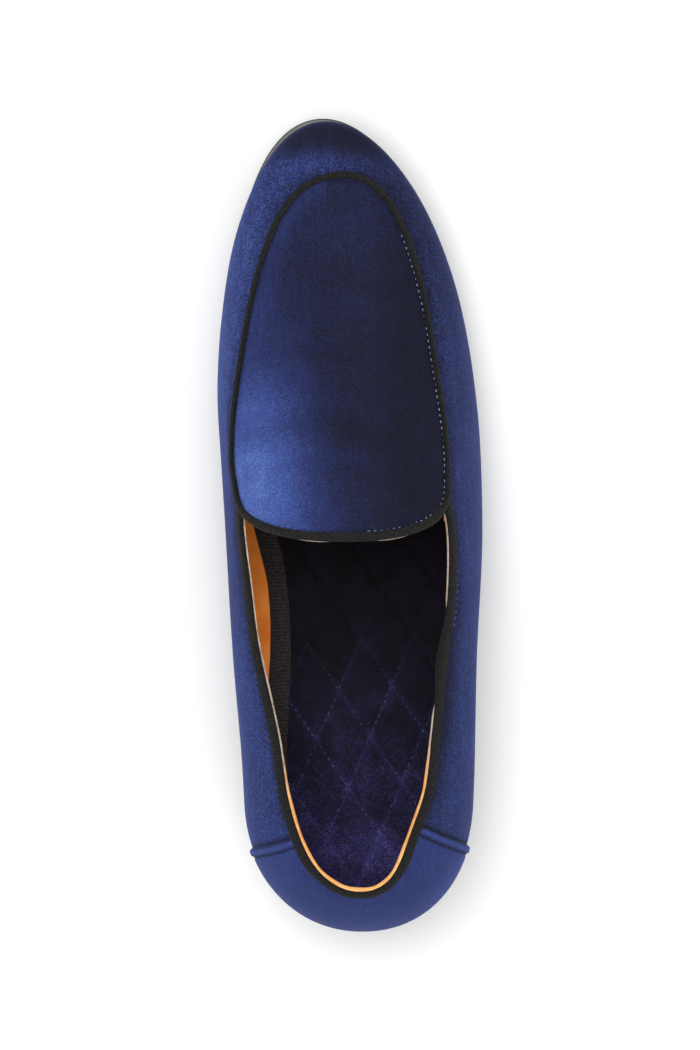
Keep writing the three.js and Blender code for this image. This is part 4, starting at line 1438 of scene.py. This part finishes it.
def insole_stitches(outer, inner):
    """Rows of small stitches in the channels, where both ends of the line lie on the insole."""
    slope = QUILT_HALF_LENGTH / QUILT_HALF_WIDTH
    cos, sin = math.cos(QUILT_TURN), math.sin(QUILT_TURN)
    ahead = np.arange(-130.0, 190.0, STITCH_PITCH)
    points, runs = [], []
    order = np.argsort(outer[:, 1])
    for direction in (1, -1):
        for k in range(-20, 40, 2):
            across = QUILT_HALF_WIDTH * k - direction * ahead / slope
            x = QUILT_X + across * cos - ahead * sin
            y = QUILT_Y + across * sin + ahead * cos
            right = np.interp(y, outer[order, 1], outer[order, 0]) - STITCH_INSET
            left = np.interp(y, inner[order, 1], inner[order, 0]) + STITCH_INSET
            keep = (x > left) & (x < right) & (y > 4) & (y < 270)
            points.append(np.stack([x, y], -1)[keep])
            run = [-direction / slope * cos - sin, cos - direction / slope * sin]
            runs.append(np.broadcast_to(run, points[-1].shape))
    flat, run = np.concatenate(points), np.concatenate(runs)
    middle = (outer + inner) / 2
    level = np.interp(flat[:, 1], middle[order, 1], middle[order, 2])
    tilt = np.interp(flat[:, 1] + 1, middle[order, 1], middle[order, 2]) - level
    z = level - 0.25 - CHANNEL_DEPTH
    along = unit(np.stack([run[:, 0], run[:, 1], tilt], -1))
    normal = unit(np.stack([0 * z, -tilt, 1 + 0 * z], -1))
    places = np.stack([flat[:, 0], flat[:, 1], z], -1)
    stitches("insole_stitches", places, normal, along, (1.15, 0.45, 0.52), VIOLET_THREAD)


# Twill strip between the insole and the lining on the inner side

# Place along the shoe and the band's edges in plan, on the insole and up the wall
TWILL_EDGES = [
    (24, -17.0, -23.5),
    (45, -21.5, -27.5),
    (66, -22.4, -28.9),
    (75, -21.9, -28.8),
    (88, -21.2, -28.5),
    (98, -21.1, -28.0),
    (108, -21.4, -27.9),
    (116, -22.0, -28.35),
    (124, -22.9, -29.2),
    (131, -24.0, -30.4),
    (138, -26.0, -32.4),
    (147, -29.5, -35.6),
    (158, -33.0, -38.2),
    (172, -36.5, -40.4),
    (190, -39.5, -42.4),
    (230, -40.0, -43.0),
]
TWILL_COLUMNS = 320
TWILL_MIDDLE = 130
twill_inner_at, twill_outer_at = curve(TWILL_EDGES, 1), curve(TWILL_EDGES, 2)


def make_twill():
    """Twill band over the insole's inner edge: from its inner line on the insole to the corner,
    then up the wall to the place where the wall reaches its outer line in plan."""
    phi = -np.linspace(0.6, 2.1, TWILL_COLUMNS)
    edge = insole_edge(phi)
    y = edge[:, 1]
    inner = edge.copy()
    inner[:, 0] = np.maximum(twill_inner_at(y), edge[:, 0] + 0.6)
    shares = np.linspace(0, 0.92, 8)
    flat = [inner + (edge - inner) * s + UP * (0.55 + 0.5 * s**3) for s in shares]
    wall = -WALL - 0.4

    def low_miss(rise):
        return off_last(phi, rise, wall)[..., 2] - edge[:, 2] - 1.3

    def high_miss(rise):
        return twill_outer_at(y) - off_last(phi, rise, wall)[..., 0]

    start = bisect(low_miss, np.full_like(phi, -1.4), np.full_like(phi, 0.2))
    stop = bisect(high_miss, np.full_like(phi, -1.4), np.full_like(phi, 0.2))
    stop = np.maximum(stop, start + 0.03)
    up = [off_last(phi, start + (stop - start) * s, wall) for s in np.linspace(0, 1, 9)]
    tuck = off_last(phi, stop + 0.01, wall + 0.35)
    grid = np.stack([inner - UP * 0.2, *flat, *up, tuck])
    across = run_along(grid[:, TWILL_MIDDLE])
    uv = np.stack(np.broadcast_arrays(run_along(edge), across[:, None]), -1)
    faces = grid_faces(*grid.shape[:2], flip=True)
    return piece("twill_strip", grid, faces, TWILL, uv=uv)


# Sole and heel

SOLE_COLUMNS = 420
SOLE_BEVEL = 0.6
GROOVE_DROP = 1.5
GROOVE_DEPTH = 0.5
GROOVE_HEIGHT = 0.7


def sole_ring(phi, extra):
    """Plan outline of the sole: the feather edge moved out by the margin."""
    point = last_point(phi, -1.0)
    along = unit((last_point(phi + STEP, -1.0) - last_point(phi - STEP, -1.0))[:, :2])
    toe = TOE_MARGIN * hump(np.mod(phi, 2 * np.pi), TOE_MARGIN_AT, TOE_MARGIN_SPAN)
    out = SOLE_MARGIN + toe + extra
    return point[:, :2] + np.stack([along[:, 1], -along[:, 0]], -1) * out[:, None]


def make_outsole():
    """Outsole: rings with rounded edges and a groove, closed by ruled faces above and below."""
    phi = np.linspace(0, 2 * np.pi, SOLE_COLUMNS, endpoint=False)
    t = share_of(phi)
    bottom, top = sole_bottom(t), sole_top(t) - 0.3
    groove = top - GROOVE_DROP
    rings = []
    for k in np.linspace(0, 1, 5):
        turn = k * np.pi / 2
        height = bottom + SOLE_BEVEL * (1 - math.cos(turn))
        rings.append((SOLE_BEVEL * (math.sin(turn) - 1), height))
    rings += [
        (0, groove - GROOVE_HEIGHT),
        (-0.15, groove - GROOVE_HEIGHT * 0.92),
        (-GROOVE_DEPTH, groove - GROOVE_HEIGHT * 0.7),
        (-GROOVE_DEPTH, groove - GROOVE_HEIGHT * 0.3),
        (-0.15, groove - GROOVE_HEIGHT * 0.08),
        (0, groove),
        (0, top - 0.5),
        (0, top - 0.42),
        (-0.1, top - 0.12),
        (-0.38, top),
        (-0.48, top),
    ]
    grid = np.stack([np.c_[sole_ring(phi, extra), z] for extra, z in rings])
    rim = np.zeros(grid.shape[:2])
    rim[-4:-1] = 1
    faces = [grid_faces(len(rings), SOLE_COLUMNS, close_cols=True)]
    half = SOLE_COLUMNS // 2
    j = np.arange(1, half)
    lower = np.stack([j, SOLE_COLUMNS - j], -1)
    shift = (len(rings) - 1) * SOLE_COLUMNS
    strips = np.stack([lower[:-1, 0], lower[:-1, 1], lower[1:, 1], lower[1:, 0]], -1)
    faces += [strips, strips[:, ::-1] + shift]
    tips = [[0, SOLE_COLUMNS - 1, 1], [half - 1, half + 1, half]]
    tips += [[a + shift for a in tip[::-1]] for tip in tips]
    return piece(
        "rubber_outsole",
        grid,
        np.concatenate(faces),
        SOLE_RUBBER,
        replaces=("outsole",),
        slot="outsole",
        polys=tips,
        values={"rim": rim},
    )


BREAST = 72
BREAST_HOLLOW = 4
BREAST_SLANT = 3
BREAST_HEIGHT = 16.5
HOLLOW_HALF = 38
HEEL_INSET = 0.3
HEEL_TAPER = 1.6
TOP_PIECE = 5.5


def make_heel():
    """Heel block: rings of the sole's outline up to a slanted, hollowed breast, with a grooved
    line over the top piece."""
    groove = [(-0.15, 0), (0, 0.12), (0.15, 0.65), (0.6, 0.65), (0.75, 0.12), (0.9, 0)]
    levels = [(0, 0.6), (0.08, 0.35), (0.25, 0.14), (0.6, 0), (3, 0)]
    levels += [(TOP_PIECE + up, inset) for up, inset in groove]
    levels += [(9, 0), (12, 0), (15, 0), (30, 0)]
    rings = []
    for z, inset in levels:
        climb = min(z / BREAST_HEIGHT, 1)
        extra = -HEEL_INSET - HEEL_TAPER * max(1 - z / HEEL_HEIGHT, 0) - inset
        breast = BREAST - BREAST_SLANT + 2 * BREAST_SLANT * climb - inset

        def hollow(x):
            return breast - BREAST_HOLLOW * climb * np.maximum(1 - (x / HOLLOW_HALF) ** 2, 0)

        def miss(angle, side):
            point = sole_ring(side * angle, extra)
            return point[:, 1] - hollow(point[:, 0])

        ends = [bisect(lambda a, s=s: miss(a, s), [0.4], [1.5])[0] for s in (1, -1)]
        phi = np.linspace(-ends[1], ends[0], 150)
        rim = sole_ring(phi, extra)
        x = np.linspace(rim[-1, 0], rim[0, 0], 42)[1:-1]
        front = np.stack([x, hollow(x)], -1)
        ring = np.concatenate([rim, front])
        roof = sole_bottom(np.clip(ring[:, 1] / LENGTH, 0, 1)) - 0.02
        rings.append(np.c_[ring, np.minimum(z, roof)])
    grid = np.stack(rings)
    rows, cols = grid.shape[:2]
    return piece(
        "rubber_heel",
        grid,
        grid_faces(rows, cols, close_cols=True),
        HEEL_RUBBER,
        replaces=("heel",),
        slot="heel",
        polys=end_caps(rows, cols),
    )


# Stitches beside the seams

# Place along the shoe up to which the edging's outer stitches carry a painted glint
EDGING_GLINT_UP_TO = 246
# Places along the shoe between which the binding's outer stitches carry a painted glint
BINDING_GLINT_FROM = 106
BINDING_GLINT_UP_TO = 127
BINDING_STITCHES_FROM = 40
BINDING_STITCHES_DOWN = 3.4


def edging_stitches():
    """Navy stitches on the apron beside its edging, pale with a painted glint along the outer side."""
    along, side = along_line(edging_points, edging_normals, closed=True)
    inset = edging_width(edging_points) * 1.5 + 0.6
    line = edging_points + side * inset[:, None] - edging_normals * 0.05
    places = spaced(line, 2.3)
    points, normals, runs = (picked(v, places) for v in (line, edging_normals, along))
    # Painted glint on the stitches along the outer side
    outer = (points[:, 0] > 5) & (points[:, 1] < EDGING_GLINT_UP_TO)
    for name, keep, thread in (
        ("edging_stitches_painted_glint", outer, PAINTED_GLINT_THREAD),
        ("edging_stitches_navy", ~outer, NAVY_THREAD),
    ):
        stitches(name, points[keep], normals[keep], runs[keep], (1.25, 0.36, 0.42), thread)


def binding_stitches():
    """Stitches beside the collar binding on the quarters, navy with a painted glint at the outer waist.
    """
    _, _, points, normals = collar_lines(COLLAR_STEPS)
    along, side = along_line(points, normals)
    ahead = points[:, 1] > BINDING_STITCHES_FROM
    line = points + side * BINDING_STITCHES_DOWN - normals * 0.1
    places = spaced(line, 2.4)
    places = places[picked(ahead.astype(float)[:, None], places)[:, 0] > 0.5]
    spots, facing, runs = (picked(v, places) for v in (line, normals, along))
    x, y = spots[:, 0], spots[:, 1]
    # Painted glint on the stitches over this stretch of the outer waist
    bright = (x > 0) & (y > BINDING_GLINT_FROM) & (y < BINDING_GLINT_UP_TO)
    for name, keep, thread in (
        ("binding_stitches_painted_glint", bright, PAINTED_BLUE_GLINT_THREAD),
        ("binding_stitches", ~bright, NAVY_THREAD),
    ):
        stitches(name, spots[keep], facing[keep], runs[keep], (1.1, 0.34, 0.4), thread)


def counter_stitches():
    """Stitches in the groove behind the counter's folded edge."""
    share = np.linspace(0.04, 0.94, 60)
    groups = []
    for s in (1, -1):
        angle = counter_front(s, share)
        rise = -1 + (collar_rise(s * angle) + 1) * share
        bare = last_point(s * angle, rise)
        speed = np.linalg.norm(last_point(s * (angle + STEP), rise) - bare, axis=-1) / STEP
        angle = s * (angle - GROOVE_AT / speed)
        points = off_last(angle, rise, COUNTER_OFFSET - 0.3)
        normals = last_normal(angle, rise)
        along, _ = along_line(points, normals)
        places = spaced(points, 2.6)
        groups.append([picked(v, places) for v in (points, normals, along)])
    points, normals, along = (np.concatenate(parts) for parts in zip(*groups))
    stitches("counter_stitches", points, normals, along, (1.5, 0.42, 0.45), NAVY_THREAD)


# Floor, light and camera

FLOOR_HALF = 3.0
WORLD_LIGHT = 0.75
# Name, place, size and power of each lamp
LAMPS = [("overhead", (-0.25, 0.2, 1.6), 1.1, 14), ("rear_fill", (0.5, -1.1, 1.1), 0.9, 5)]
CAMERA_HEIGHT = 4.0
CAMERA_LENS = 384
CAMERA_SENSOR = 36
FLOOR_STOPS = [(0.3, srgb(250, 250, 250)), (0.7, srgb(253, 253, 253))]


def make_studio():
    """White floor, a soft overhead light with a broad side fill, and a camera straight above."""
    floor, tree, shader = new_material("floor_paper")
    colour = ramp(tree, noise(tree, own_place(tree), 3, 2), FLOOR_STOPS)
    finish(tree, shader, colour, Roughness=0.9, Specular_IOR_Level=0.1)
    mesh = bpy.data.meshes.new("floor")
    corners = [(FLOOR_HALF * a, FLOOR_HALF * b, 0) for a, b in ((-1, -1), (1, -1), (1, 1), (-1, 1))]
    mesh.from_pydata(corners, [], [(0, 1, 2, 3)])
    mesh.materials.append(floor)
    ground = bpy.data.objects.new("floor", mesh)
    bpy.context.scene.collection.objects.link(ground)
    world = bpy.data.worlds.new("studio")
    world.use_nodes = True
    background = world.node_tree.nodes["Background"]
    background.inputs[0].default_value = (1, 1, 1, 1)
    background.inputs[1].default_value = WORLD_LIGHT
    bpy.context.scene.world = world
    for name, where, size, power in LAMPS:
        data = bpy.data.lights.new(name, "AREA")
        data.size = size
        data.energy = power
        light = bpy.data.objects.new(name, data)
        light.location = where
        light.rotation_mode = "QUATERNION"
        light.rotation_quaternion = (-Vector(where)).to_track_quat("-Z", "Y")
        bpy.context.scene.collection.objects.link(light)
    data = bpy.data.cameras.new("camera")
    data.lens = CAMERA_LENS
    data.sensor_width = CAMERA_SENSOR
    data.clip_end = 20
    camera = bpy.data.objects.new("camera", data)
    camera.location = (0.0, 0.0, CAMERA_HEIGHT)
    bpy.context.scene.collection.objects.link(camera)
    bpy.context.scene.camera = camera
    bpy.context.scene.view_settings.view_transform = "Standard"


make_sides()
make_apron()
make_collar_lining()
make_edge_roll()
make_vamp_lining()
make_binding()
make_edging()
make_throat_tape()
make_throat_lining()
make_counter()
insole_stitches(*make_insole())
make_twill()
make_outsole()
make_heel()
edging_stitches()
binding_stitches()
counter_stitches()
make_studio()
